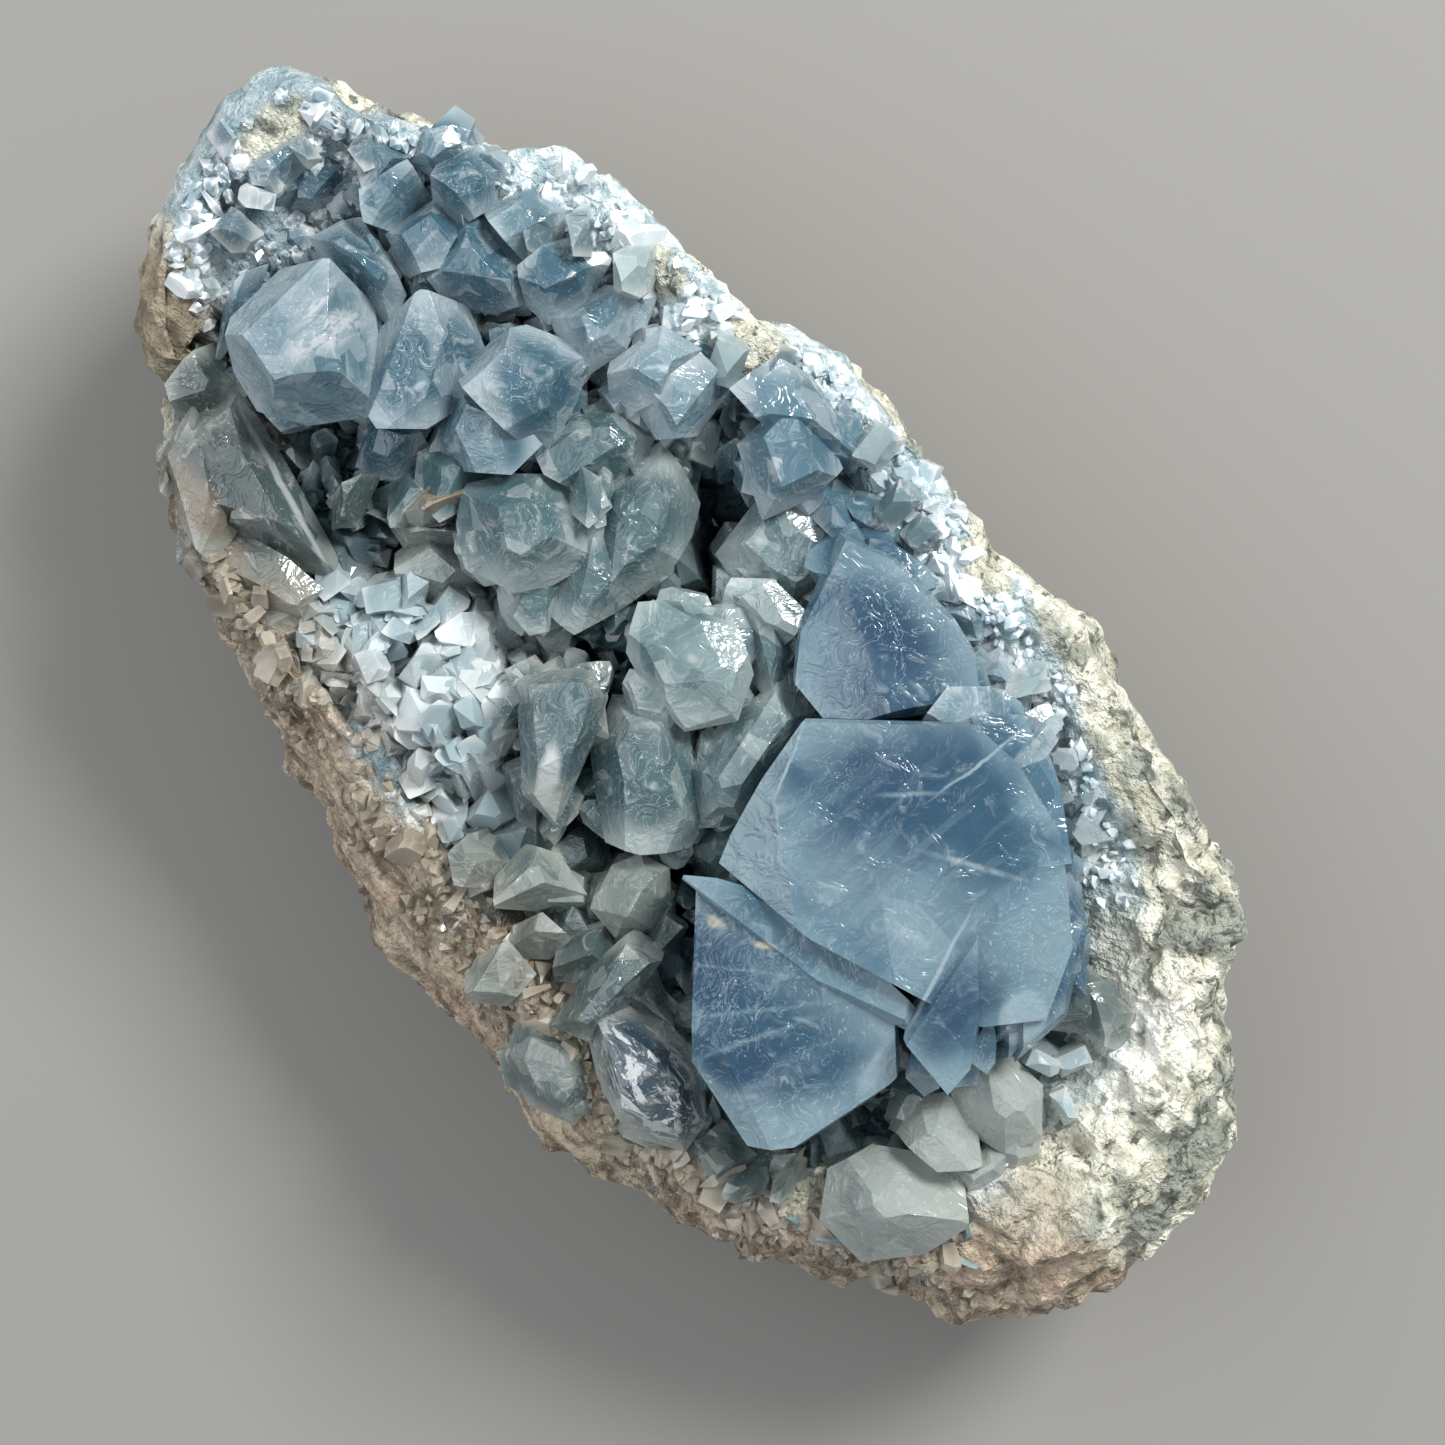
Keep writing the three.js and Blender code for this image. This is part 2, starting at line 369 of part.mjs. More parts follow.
// A point of the inside, from the crest at 0 by the lip at LIP_AT to the middle of the floor at 1.
const LIP_AT = 0.2;
const WALL_CURVE = 2.1;
const hollowLump = (x, y) => RIM_LUMP * lumps(x / RIM_LUMP_SIZE, y / RIM_LUMP_SIZE, 3);
function insidePoint(share, depth) {
  const s = section(share);
  if (depth <= LIP_AT) {
    const t = depth / LIP_AT;
    const [x, y] = [mix(s.crest[0], s.lip[0], t), mix(s.crest[1], s.lip[1], t)];
    const z = mix(s.crestZ, s.lipZ, t) + RIM_SWELL * Math.sin(Math.PI * t) + hollowLump(x, y);
    return [...spread(x, y, z), z];
  }
  const out = (1 - depth) / (1 - LIP_AT);
  const [x, y] = [s.lip[0] * out, s.lip[1] * out];
  const z = mix(FLOOR_Z, s.lipZ, out ** WALL_CURVE) + hollowLump(x, y);
  return [...spread(x, y, z), z];
}

// A closed solid from rows of points round the stone: a lathe whose points are set one by one.
function turned(rows, around, pointAt) {
  const profile = rows.map((row, i) => new THREE.Vector2(Math.sin((Math.PI * i) / (rows.length - 1)), i));
  const geometry = new THREE.LatheGeometry(profile, around);
  const position = geometry.getAttribute("position");
  for (let i = 0; i <= around; i++)
    rows.forEach((row, j) => {
      position.setXYZ(i * rows.length + j, ...pointAt(((around - i) % around) / around, row));
    });
  return geometry;
}

// The geometry with each point moved along its normal by a distance that may depend on where it is.
function swollen(geometry, distanceAt) {
  geometry.deleteAttribute("normal");
  geometry.deleteAttribute("uv");
  const merged = mergeVertices(geometry, 1e-3);
  merged.computeVertexNormals();
  const position = merged.getAttribute("position");
  const normal = merged.getAttribute("normal");
  const point = new THREE.Vector3();
  const direction = new THREE.Vector3();
  for (let i = 0; i < position.count; i++) {
    point.fromBufferAttribute(position, i);
    direction.fromBufferAttribute(normal, i);
    point.addScaledVector(direction, distanceAt(point, direction));
    position.setXYZ(i, point.x, point.y, point.z);
  }
  return merged;
}

function solid(geometry) {
  geometry.deleteAttribute("normal");
  geometry.deleteAttribute("uv");
  const merged = mergeVertices(geometry, 1e-3);
  const index = Array.from(merged.index.array);
  const corners = [];
  for (let i = 0; i < index.length; i += 3) {
    const [a, b, c] = index.slice(i, i + 3);
    if (a !== b && b !== c && c !== a) corners.push(a, b, c);
  }
  const made = new wasm.Manifold(new wasm.Mesh({
    numProp: 3,
    vertProperties: merged.getAttribute("position").array,
    triVerts: new Uint32Array(corners),
  }));
  return made;
}

// The largest body alone. Voids that neighbours close off between them fill up with it, and the crumbs
// that a cut leaves loose fall away.
function largestBody(manifold) {
  return manifold.decompose().reduce((best, body) => (body.volume() > best.volume() ? body : best));
}

function geometryOf(manifold) {
  const mesh = manifold.getMesh();
  const geometry = new THREE.BufferGeometry();
  geometry.setAttribute("position", new THREE.BufferAttribute(mesh.vertProperties, 3));
  geometry.setIndex(new THREE.BufferAttribute(mesh.triVerts, 1));
  return geometry;
}

// The corners of the solid inside all planes, each [nx, ny, nz, d] with n.p <= d.
function cornersInside(planes) {
  const found = [];
  const [a, b, c] = [new THREE.Vector3(), new THREE.Vector3(), new THREE.Vector3()];
  for (let i = 0; i < planes.length; i++)
    for (let j = i + 1; j < planes.length; j++)
      for (let k = j + 1; k < planes.length; k++) {
        a.fromArray(planes[i]);
        b.fromArray(planes[j]);
        c.fromArray(planes[k]);
        const bc = b.clone().cross(c);
        const size = a.dot(bc);
        if (Math.abs(size) < 1e-4) continue;
        const p = bc.multiplyScalar(planes[i][3]);
        p.addScaledVector(c.clone().cross(a), planes[j][3]);
        p.addScaledVector(a.clone().cross(b), planes[k][3]);
        p.divideScalar(size);
        const inside = planes.every((q) => q[0] * p.x + q[1] * p.y + q[2] * p.z <= q[3] + 1e-5);
        if (inside && !found.some((f) => f.distanceTo(p) < 1e-3)) found.push(p);
      }
  return found;
}

function plane(point, normal) {
  const n = new THREE.Vector3(...normal).normalize();
  return [n.x, n.y, n.z, n.dot(new THREE.Vector3(...point))];
}

// The height of the hollow's own surface below the middle of some points.
const GROUND = Array.from({ length: 1200 }, (_, i) => insidePoint(i / 60, Math.floor(i / 60) / 20));
function groundUnder(points) {
  const x = points.reduce((sum, p) => sum + p[0], 0) / points.length;
  const y = points.reduce((sum, p) => sum + p[1], 0) / points.length;
  const away = (p) => Math.hypot(p[0] - x, p[1] - y);
  return GROUND.reduce((best, p) => (away(p) < away(best) ? p : best))[2];
}

// One crystal of the tables above: upright sides that narrow downwards, bevels and the faces on top.
function crystal({ ring, z, bevel, faces }) {
  const points = ring.map(([x, y]) => [...spread(x, y, z), z]);
  const root = groundUnder(points) + ROOT_ABOVE_ROCK;
  const turn = THREE.ShapeUtils.area(points.map(([x, y]) => new THREE.Vector2(x, y))) > 0 ? 1 : -1;
  const planes = [plane([0, 0, root], [0, 0, -1])];
  points.forEach((p, i) => {
    const q = points[(i + 1) % points.length];
    const [outX, outY] = [turn * (q[1] - p[1]), turn * (p[0] - q[0])];
    const length = Math.hypot(outX, outY);
    const luck = chance(i, points.length, Math.round(p[0]));
    planes.push(plane(p, [outX / length, outY / length, -UNDERCUT]));
    const rise = 1 / (bevel * (0.4 + luck));
    if (luck > PLAIN_SIDES) planes.push(plane(p, [outX / length, outY / length, rise]));
  });
  for (const [x, y, height, slopeX, slopeY] of faces)
    planes.push(plane([...spread(x, y, height), height], [-slopeX, -slopeY, 1]));
  return solid(new ConvexGeometry(cornersInside(planes)));
}

// A small crystal: a stubby tablet with a roof-shaped end, its tip at a point, its axis along a direction.
function smallCrystal(tip, direction, width, long, seed) {
  const thick = width * mix(0.55, 0.9, chance(seed, 1, 2));
  const roof = width * mix(0.3, 0.55, chance(seed, 5, 6));
  const ridge = width * mix(0.05, 0.3, chance(seed, 7, 8));
  const [w, t] = [width / 2, thick / 2];
  const points = [new THREE.Vector3(-ridge, 0, 0), new THREE.Vector3(ridge, 0, 0)];
  for (const [x, y] of [[w, t], [-w, t], [-w, -t], [w, -t]]) {
    points.push(new THREE.Vector3(x, y, -roof));
    points.push(new THREE.Vector3(x * 0.75, y * 0.75, -long));
  }
  const up = new THREE.Vector3(0, 0, 1);
  const stand = new THREE.Quaternion().setFromUnitVectors(up, direction.clone().normalize());
  const spin = new THREE.Quaternion().setFromAxisAngle(up, chance(seed, 9, 1) * Math.PI);
  for (const p of points) p.applyQuaternion(spin).applyQuaternion(stand).add(tip);
  return solid(new ConvexGeometry(points));
}

function listedSmallCrystals() {
  return SMALL_CRYSTALS.map(([x, y, z, width], i) => {
    const [px, py] = spread(x, y, z);
    const lean = new THREE.Vector3(chance(i, 2, 3) - 0.5, chance(i, 4, 5) - 0.5, 1);
    return smallCrystal(new THREE.Vector3(px, py, z), lean, width, width * 1.7, i + 40);
  });
}

function loopedSmallCrystals({ count, from, to, width }, seed, allowed) {
  const made = [];
  for (let i = 0; i < count; i++) {
    const share = (i * GOLDEN_STEP) % 1;
    const depth = mix(from, to, chance(i, seed, 1));
    if (!allowed(section(share), depth)) continue;
    const here = new THREE.Vector3(...insidePoint(share, depth));
    const aside = new THREE.Vector3(...insidePoint(share + 0.01, depth)).sub(here);
    const down = new THREE.Vector3(...insidePoint(share, depth + 0.02)).sub(here);
    const out = down.cross(aside).normalize();
    if (out.z < 0) out.negate();
    const size = width * mix(0.7, 1.15, chance(i, seed, 2));
    const lean = new THREE.Vector3(chance(i, seed, 3) - 0.5, chance(i, seed, 4) - 0.5, 0.6);
    const direction = out.clone().addScaledVector(lean, 0.8).normalize();
    const long = size * mix(0.9, 1.2, chance(i, seed, 5));
    const tip = here.clone().addScaledVector(direction, long + ROOT_CLEAR);
    if (!buried(tip)) made.push(smallCrystal(tip, direction, size, long, i + seed * 100));
  }
  return made;
}

// Whether a point lies inside one of the large crystals of the tables.
function buried(tip) {
  return tables.some(({ ring, z }) => {
    const points = ring.map(([x, y]) => spread(x, y, z));
    return tip.z < z + 1 && points.reduce((inside, p, i) => {
      const q = points[(i + 1) % points.length];
      const crosses = (p[1] > tip.y) !== (q[1] > tip.y)
        && tip.x < p[0] + ((q[0] - p[0]) * (tip.y - p[1])) / (q[1] - p[1]);
      return crosses ? !inside : inside;
    }, false);
  });
}

function rockGeometry() {
  const outsideRows = Array.from({ length: OUTSIDE.length + UPPER_ROWS }, (_, row) => ["outside", row]);
  const insideRows = [0, 0.1, 0.2, 0.4, 0.65, 1].map((depth) => ["inside", depth]);
  const shape = turned([...outsideRows, ...insideRows], ROCK_AROUND, (share, [side, at]) => {
    return side === "outside" ? outsidePoint(share, at) : insidePoint(share, at);
  });
  return swollen(shape, (p, direction) => {
    const onFlank = smooth(0.5, 5, p.z) * (1 - smooth(0.3, 0.7, direction.z));
    const lump = lumps(p.x / LUMP_SIZE, p.y / LUMP_SIZE + 7, p.z / LUMP_SIZE);
    const grain = lumps(p.x / GRAIN_SIZE, p.y / GRAIN_SIZE, p.z / GRAIN_SIZE + 11);
    const level = p.z / LEDGE_RISE + 0.8 * lump;
    const ledge = smooth(0.3, 0.5, level - Math.floor(level)) - 0.7;
    return onFlank * (LUMP * lump + GRAIN * grain + LEDGE * ledge);
  });
}

function crustLayer() {
  const depths = [0.04, 0.2, 0.4, 0.65, 1];
  const under = [...depths].reverse().map((depth) => ["under", depth]);
  const rows = [...under, ...depths.map((depth) => ["over", depth])];
  return turned(rows, LAYER_AROUND, (share, [side, depth]) => {
    const s = section(share);
    const start = LIP_AT * Math.max(0.35, s.blunt * (1 - 0.6 * s.low));
    const [x, y, z] = insidePoint(share, Math.max(depth, start));
    return [x, y, side === "under" ? z - LAYER_UNDER : z + LAYER_OVER];
  });
}

// The cleft between the knob of rind at the narrow end and the rest of the low side.
function cleft() {
  const points = [
    [-69, -26, 47], [-65, -26, 47], [-66.4, -27, 12], [-67.2, -6, 47], [-64.8, -6, 47], [-66, -8, 32],
  ];
  return solid(new ConvexGeometry(points.map(([x, y, z]) => new THREE.Vector3(...spread(x, y, z), z))));
}

function madeNode(name, manifold, colour, roughness) {
  const material = new THREE.MeshStandardMaterial({ color: colour, roughness, metalness: 0 });
  const mesh = new THREE.Mesh(geometryOf(manifold), material);
  mesh.name = name;
  return mesh;
}

const tables = [GREAT_BLUE, BLUE_GROUP, MIDDLE_GROUP, RIM_CRYSTALS, LEDGE_CRYSTALS].flat();
const rockShape = rockGeometry();
const rock = solid(rockShape.clone()).subtract(cleft());
const roomForRock = solid(swollen(rockShape, () => GAP));

const crystals = tables.map(crystal);
const inHollow = () => true;
const onCrystalRim = (s) => s.low < 0.3 && s.blunt < 0.35;
const grown = wasm.Manifold.union([
  solid(crustLayer()),
  ...crystals,
  ...listedSmallCrystals(),
  ...loopedSmallCrystals(HOLLOW_DRUSE, 1, inHollow),
  ...loopedSmallCrystals(RIM_DRUSE, 2, onCrystalRim),
]).subtract(roomForRock);
const crust = largestBody(grown.asOriginal().simplify(SLIVER));

const stone = new THREE.Group();
stone.name = "celestite_cluster";
stone.add(madeNode("rock_shell", rock, 0xcfc9b8, 0.95));
stone.add(madeNode("crystal_crust", crust, 0x7fa3bd, 0.2));
export default stone;
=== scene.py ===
import functools
import itertools
import math

import bmesh
import bpy
import numpy as np
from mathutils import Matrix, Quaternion, Vector
from mathutils.bvhtree import BVHTree


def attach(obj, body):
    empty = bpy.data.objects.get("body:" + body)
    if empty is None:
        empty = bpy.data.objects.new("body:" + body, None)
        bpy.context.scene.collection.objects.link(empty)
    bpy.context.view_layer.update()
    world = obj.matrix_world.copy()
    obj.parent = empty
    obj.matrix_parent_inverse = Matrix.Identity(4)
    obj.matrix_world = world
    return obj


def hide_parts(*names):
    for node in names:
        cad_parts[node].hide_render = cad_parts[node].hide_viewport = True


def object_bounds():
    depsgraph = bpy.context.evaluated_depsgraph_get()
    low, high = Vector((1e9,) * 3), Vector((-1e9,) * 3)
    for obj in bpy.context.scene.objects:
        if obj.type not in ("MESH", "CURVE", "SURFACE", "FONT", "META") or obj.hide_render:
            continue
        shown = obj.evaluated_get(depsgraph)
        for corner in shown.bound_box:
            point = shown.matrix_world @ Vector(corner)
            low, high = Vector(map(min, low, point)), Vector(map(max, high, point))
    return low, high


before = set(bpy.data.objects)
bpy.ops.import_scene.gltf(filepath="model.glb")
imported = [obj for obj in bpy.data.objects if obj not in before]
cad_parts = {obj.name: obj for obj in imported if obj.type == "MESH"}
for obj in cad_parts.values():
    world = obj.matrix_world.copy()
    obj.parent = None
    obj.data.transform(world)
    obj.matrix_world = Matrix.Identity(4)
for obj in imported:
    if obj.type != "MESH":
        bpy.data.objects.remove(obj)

# %% [markdown]
# # A celestite crystal cluster
# The stone is half of a marl nodule that lies on its back. Its hollow is lined with pale blue celestite:
# two great blocks at the blunt end, a group of blue ones at the narrow end, grey-green ones between them,
# and a white glitter of small ones over the rim. The solids that came in with the frame have the main
# crystals with flat faces. This script gives the same stone its fine surface, its small crystals and its
# colours. The numbers are millimetres, as on a ruler laid on the stone, and MM turns them into metres.

# %% Where the solids are
MM = 0.001
low_corner, high_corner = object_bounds()
BOX_LOW, BOX_HIGH = np.array(low_corner) / MM, np.array(high_corner) / MM
print("the solids reach from", [round(v, 4) for v in low_corner], "to", [round(v, 4) for v in high_corner])

# %% [markdown]
# A natural surface needs chance that is the same on every run. chance() is a number between 0 and 1 for
# three numbers, and lumps() blends it into smooth hills and dips, about one for each unit of length. Both
# take whole arrays, so a rock of eighty thousand points is shaped in one go.

# %% Steady chance and smooth lumps
def clamp01(value):
    return np.clip(value, 0.0, 1.0)


def smooth(start, end, value):
    t = clamp01((np.asarray(value, dtype=float) - start) / (end - start))
    return t * t * (3 - 2 * t)


def mix(a, b, t):
    return a + (b - a) * t


def chance(i, j, k):
    s = np.sin(i * 127.1 + j * 311.7 + k * 74.7) * 43758.5453
    return s - np.floor(s)


def lumps(x, y, z):
    x, y, z = np.broadcast_arrays(np.asarray(x, float), np.asarray(y, float), np.asarray(z, float))
    i, j, k = np.floor(x), np.floor(y), np.floor(z)
    u, v, w = smooth(0, 1, x - i), smooth(0, 1, y - j), smooth(0, 1, z - k)

    def row(b, c):
        return mix(chance(i, j + b, k + c), chance(i + 1, j + b, k + c), u)

    def level(c):
        return mix(row(0, c), row(1, c), v)

    return mix(level(0), level(1), w) * 2 - 1


print("three chances:", [round(float(chance(n, 2, 3)), 3) for n in range(3)])

# %% [markdown]
# The stone was measured as it looks from straight above, on a level plane at the height of the crystals.
# What lies deeper looks a little smaller from there, so spread() carries a measured place down to its
# real height. The same call serves the rock and every crystal.

# %% From a measured place to a real one
FACE_Z = 50
EYE_ABOVE_FACE = 330
EYE_X, EYE_Y = 2.4, 3.6
CENTRE_X, CENTRE_Y = -2.51, -0.2


def spread(x, y, z):
    larger = (EYE_ABOVE_FACE + FACE_Z - np.asarray(z, float)) / EYE_ABOVE_FACE
    return EYE_X + (x - EYE_X) * larger - CENTRE_X, EYE_Y + (y - EYE_Y) * larger - CENTRE_Y


print("the middle of the view stands over", [round(float(v), 2) for v in spread(EYE_X, EYE_Y, FACE_Z)])

# %% [markdown]
# The outline of the stone is a closed line of places read off its edge. At each share of the way round,
# section() says where the edge, the crest of the rim and the lip of the hollow are. The low side has a
# broad band of rind below its crest, and the blunt end a broad shelf of matrix between crest and lip.

# %% The outline and the cross-section
GIRTH_Z, CREST_Z, LIP_Z, FLOOR_Z = 25, 46.5, 43.5, 27
LOW_SIDE_DROP = 6
GIRTH_SHARE = 0.975
LIP_AT = 0.2
WALL_CURVE = 2.1
RIM_SWELL, RIM_LUMP, RIM_LUMP_SIZE = 1.2, 1.3, 8
EDGE = [
    (-85, 5), (-84, 12), (-80, 15), (-75, 18), (-70, 21), (-62, 25), (-57, 30), (-49, 33), (-40, 34.5),
    (-30, 35.5), (-25, 38.5), (-15, 39.5), (-7, 41.3), (0, 41.3), (8, 38.5), (12, 40), (20, 41),
    (30, 39), (40, 37), (55, 36), (60, 31.5), (63, 28), (66, 25), (70, 22), (74, 18), (77.5, 10),
    (78.5, 0), (75.5, -10), (70, -19), (62, -25.5), (54, -32), (43, -38), (30, -41), (10, -42),
    (-5, -42), (-16, -40), (-30, -35.7), (-45, -32.3), (-56, -27), (-63, -24), (-65, -22.5), (-67, -23),
    (-75, -17), (-80, -10), (-84, -1),
]
LOW_CREST = [
    (-85, 2), (-78, 6), (-70, 10), (-65, 8), (-62, 2.6), (-48, 2.6), (-40, 6), (-32, 8), (-10, 9.5),
    (12, 9), (45, 7.5), (60, 5), (78, 3),
]
OUTSIDE = [
    (0, 0, 0), (0.45, 0.45, 0), (0.56, 0.58, 1.4), (0.68, 0.7, 4.5), (0.8, 0.82, 9), (0.9, 0.915, 14.5),
    (0.965, 0.97, 20), (1, 1, GIRTH_Z),
]
UPPER_ROWS = 4
GIRTH_ROW = len(OUTSIDE) - 1
CREST_ROW = GIRTH_ROW + UPPER_ROWS


def edge_at(share):
    points = np.array(EDGE + EDGE[:1], float)
    reach = np.concatenate([[0], np.cumsum(np.hypot(*np.diff(points, axis=0).T))])
    place = (share - np.floor(share)) * reach[-1]
    return np.interp(place, reach, points[:, 0]), np.interp(place, reach, points[:, 1])


def section(share):
    x, y = edge_at(share)
    angle = np.arctan2(y / 42, x / 82)
    low = smooth(0.1, 0.7, -np.sin(angle))
    blunt = smooth(0.45, 0.95, np.cos(angle)) * (1 - 0.4 * low)
    crest_in = mix(2.2, np.interp(x, *zip(*LOW_CREST)), low) + 3 * blunt
    lip_in = crest_in + 7.3 - 3.5 * low + 5 * blunt
    reach = np.hypot(x, y)
    crest, lip = 1 - crest_in / reach, 1 - lip_in / reach
    return dict(
        edge=(x, y), crest=(x * crest, y * crest), lip=(x * lip, y * lip), low=low, blunt=blunt,
        crest_z=CREST_Z - LOW_SIDE_DROP * low - 2 * blunt,
        lip_z=LIP_Z - LOW_SIDE_DROP * 0.7 * low - 1.5 * blunt,
    )


print("edge a quarter of the way round:", [round(float(v), 1) for v in edge_at(np.array(0.25))])

# %% Points of the outside and of the inside
def outside_point(share, row):
    s = section(share)
    girth = spread(s["edge"][0] * GIRTH_SHARE, s["edge"][1] * GIRTH_SHARE, GIRTH_Z)
    if row <= GIRTH_ROW:
        share_x, share_y, z = [np.interp(row, range(len(OUTSIDE)), column) for column in zip(*OUTSIDE)]
        return girth[0] * share_x, girth[1] * share_y, np.full(share.shape, z)
    up = (row - GIRTH_ROW) / UPPER_ROWS
    crest = spread(*s["crest"], s["crest_z"])
    x, y = [mix(girth[n], crest[n], up * up) for n in range(2)]
    return x, y, mix(GIRTH_Z, s["crest_z"], up)


def inside_point(share, depth):
    s = section(share)
    if depth <= LIP_AT:
        t = depth / LIP_AT
        x, y = [mix(s["crest"][n], s["lip"][n], t) for n in range(2)]
        z = mix(s["crest_z"], s["lip_z"], t) + RIM_SWELL * math.sin(math.pi * t)
    else:
        out = (1 - depth) / (1 - LIP_AT)
        x, y = s["lip"][0] * out, s["lip"][1] * out
        z = mix(FLOOR_Z, s["lip_z"], out**WALL_CURVE)
    z = z + RIM_LUMP * lumps(x / RIM_LUMP_SIZE, y / RIM_LUMP_SIZE, 3)
    return (*spread(x, y, z), z)


print("the floor of the hollow is at", round(float(inside_point(np.array([0.0]), 1)[2][0]), 1), "mm")

# %% [markdown]
# The rock is one closed surface. Rows of points run from the middle of the base up the outside, over the
# rim and down to the middle of the hollow, so it is a lathe that has lost its roundness. Each point is
# then pushed along its own normal: big lumps and ledges on the flanks, and over those pits, crumbs and
# the fine furrows that run along the rind. The base stays flat, because the stone lies on it.

# %% The rock's surface
AROUND = 480
ROWS_BELOW, ROWS_ABOVE, ROWS_ON_RIM, ROWS_IN_HOLLOW = 78, 44, 26, 24
LUMP, LUMP_SIZE = 1.9, 14
GRAIN, GRAIN_SIZE = 1.1, 6
LEDGE, LEDGE_RISE = 0.8, 13
FURROW, CRUMB, FINE_CRUMB, BLOCK, PIT, BREAK = 0.5, 0.6, 0.5, 0.7, 1.6, 0.9
SHELF_FROM, SHELF_TO = 40, 58
CLEFT_X, CLEFT_WIDE, CLEFT_DEEP = -66.2, 1.0, 5.0


def seen_from_above(x, y, z):
    larger = (EYE_ABOVE_FACE + FACE_Z - z) / EYE_ABOVE_FACE
    return EYE_X + (x + CENTRE_X - EYE_X) / larger, EYE_Y + (y + CENTRE_Y - EYE_Y) / larger


def new_object(name, verts, faces):
    mesh = bpy.data.meshes.new(name)
    mesh.from_pydata([tuple(v) for v in verts], [], faces)
    obj = bpy.data.objects.new(name, mesh)
    bpy.context.scene.collection.objects.link(obj)
    return obj


def store(obj, name, values):
    layer = obj.data.attributes.new(name, "FLOAT", "POINT")
    layer.data.foreach_set("value", np.asarray(values, np.float32))


def rock_rows():
    share = np.arange(AROUND) / AROUND
    rows = [outside_point(share, r) for r in np.linspace(0, GIRTH_ROW, ROWS_BELOW)]
    rows += [outside_point(share, r) for r in np.linspace(GIRTH_ROW, CREST_ROW, ROWS_ABOVE)[1:-1]]
    rows += [inside_point(share, d) for d in np.linspace(0, LIP_AT, ROWS_ON_RIM)[:-1]]
    rows += [inside_point(share, d) for d in np.linspace(LIP_AT, 1, ROWS_IN_HOLLOW)]
    return np.array([np.stack(row, axis=1) for row in rows])


def closed_rows(name, rows):
    count, around = rows.shape[:2]
    verts = np.concatenate([rows[:1, 0], rows[1:-1].reshape(-1, 3), rows[-1:, 0]])
    last = len(verts) - 1
    ring = lambda j: [1 + j * around + i for i in range(around)]
    faces = []
    first, top = ring(0), ring(count - 3)
    for i in range(around):
        k = (i + 1) % around
        faces.append((0, first[i], first[k]))
        faces.append((last, top[k], top[i]))
    for j in range(count - 3):
        a, b = ring(j), ring(j + 1)
        faces += [(a[i], b[i], b[(i + 1) % around], a[(i + 1) % around]) for i in range(around)]
    return new_object(name, verts, faces)


def points_and_normals(obj):
    count = len(obj.data.vertices)
    points, normals = np.empty(count * 3), np.empty(count * 3)
    obj.data.vertices.foreach_get("co", points)
    obj.data.vertices.foreach_get("normal", normals)
    return points.reshape(-1, 3), normals.reshape(-1, 3)


def shape_rock(obj):
    p, n = points_and_normals(obj)
    x, y, z = p.T
    on_flank = smooth(0.5, 5, z) * (1 - smooth(0.3, 0.7, n[:, 2]))
    lump = lumps(x / LUMP_SIZE, y / LUMP_SIZE + 7, z / LUMP_SIZE)
    grain = lumps(x / GRAIN_SIZE, y / GRAIN_SIZE, z / GRAIN_SIZE + 11)
    level = z / LEDGE_RISE + 0.8 * lump
    ledge = smooth(0.2, 0.7, level - np.floor(level)) - 0.7
    big = on_flank * (LUMP * lump + GRAIN * grain + LEDGE * ledge)
    above_base = smooth(0.4, 3, z)
    furrow = FURROW * lumps(x / 6, y / 3.4 + 5, z / 2.8) * (1 - smooth(0.4, 0.8, n[:, 2]))
    crumb = CRUMB * lumps(x / 3.1, y / 3.1, z / 3.1) + FINE_CRUMB * lumps(x / 1.5, y / 1.5, z / 1.5)
    block = BLOCK * np.round(1.4 * lumps(x / 4.6 + 3, y / 4.6, z / 4.6))
    pit = -PIT * smooth(0.35, 0.7, lumps(x / 4 + 9, y / 4, z / 3))
    seen_x, seen_y = seen_from_above(x, y, z)
    shelf = smooth(SHELF_FROM, SHELF_TO, seen_x)
    broken = smooth(2.5, 1.2, np.abs(lumps(x / 7, y / 7 + 3, z / 7)) * 8) * -BREAK
    fine = above_base * (furrow + crumb + pit * 0.8 + (block * 0.6 + broken + 0.5 * crumb) * shelf)
    split = np.exp(-(((seen_x - CLEFT_X) / CLEFT_WIDE) ** 2)) * smooth(-7, -10, seen_y) * smooth(14, 24, z)
    moved = p + n * (big + fine - CLEFT_DEEP * split)[:, None]
    moved = np.clip(moved, BOX_LOW, BOX_HIGH)
    obj.data.vertices.foreach_set("co", (moved * MM).ravel())
    obj.data.update()
    return moved, n


rock = closed_rows("rock_body", rock_rows())
bm = bmesh.new()
bm.from_mesh(rock.data)
bmesh.ops.recalc_face_normals(bm, faces=bm.faces)
bm.to_mesh(rock.data)
bm.free()
rock_points, rock_normals = shape_rock(rock)
print("rock:", len(rock.data.polygons), "faces, height", round(float(rock_points[:, 2].max()), 1), "mm")

# %% [markdown]
# The rock has four skins: a cream marl full of dark specks where the shelf was broken open, a greyish
# brown rind on the low side and the back, the plain knob at the narrow end, and the bluish ground under
# the crystals. In a few patches, and along the outer part of the high rim, that ground is missing and
# the marl is bare. Where one skin turns into the next is worked out here and kept on the points, and the
# material reads it later.

# %% Which skin a point has
BARE_PATCHES = [(-27, 32.5, 5, 4), (-41, 30.5, 4, 2.5), (8, 37, 4, 2), (47, 31, 5, 3), (-80, 8, 2.5, 5)]
BARE_EDGE = [(8, 42), (15, 37.5), (25, 34), (42, 29), (50, 25), (56, 20), (70, 8)]
RIND_EDGE = [
    (-90, -14), (-64, -24), (-30, -27), (10, -30), (40, -29), (58, -22), (66, -10), (74, 0), (90, 8),
]


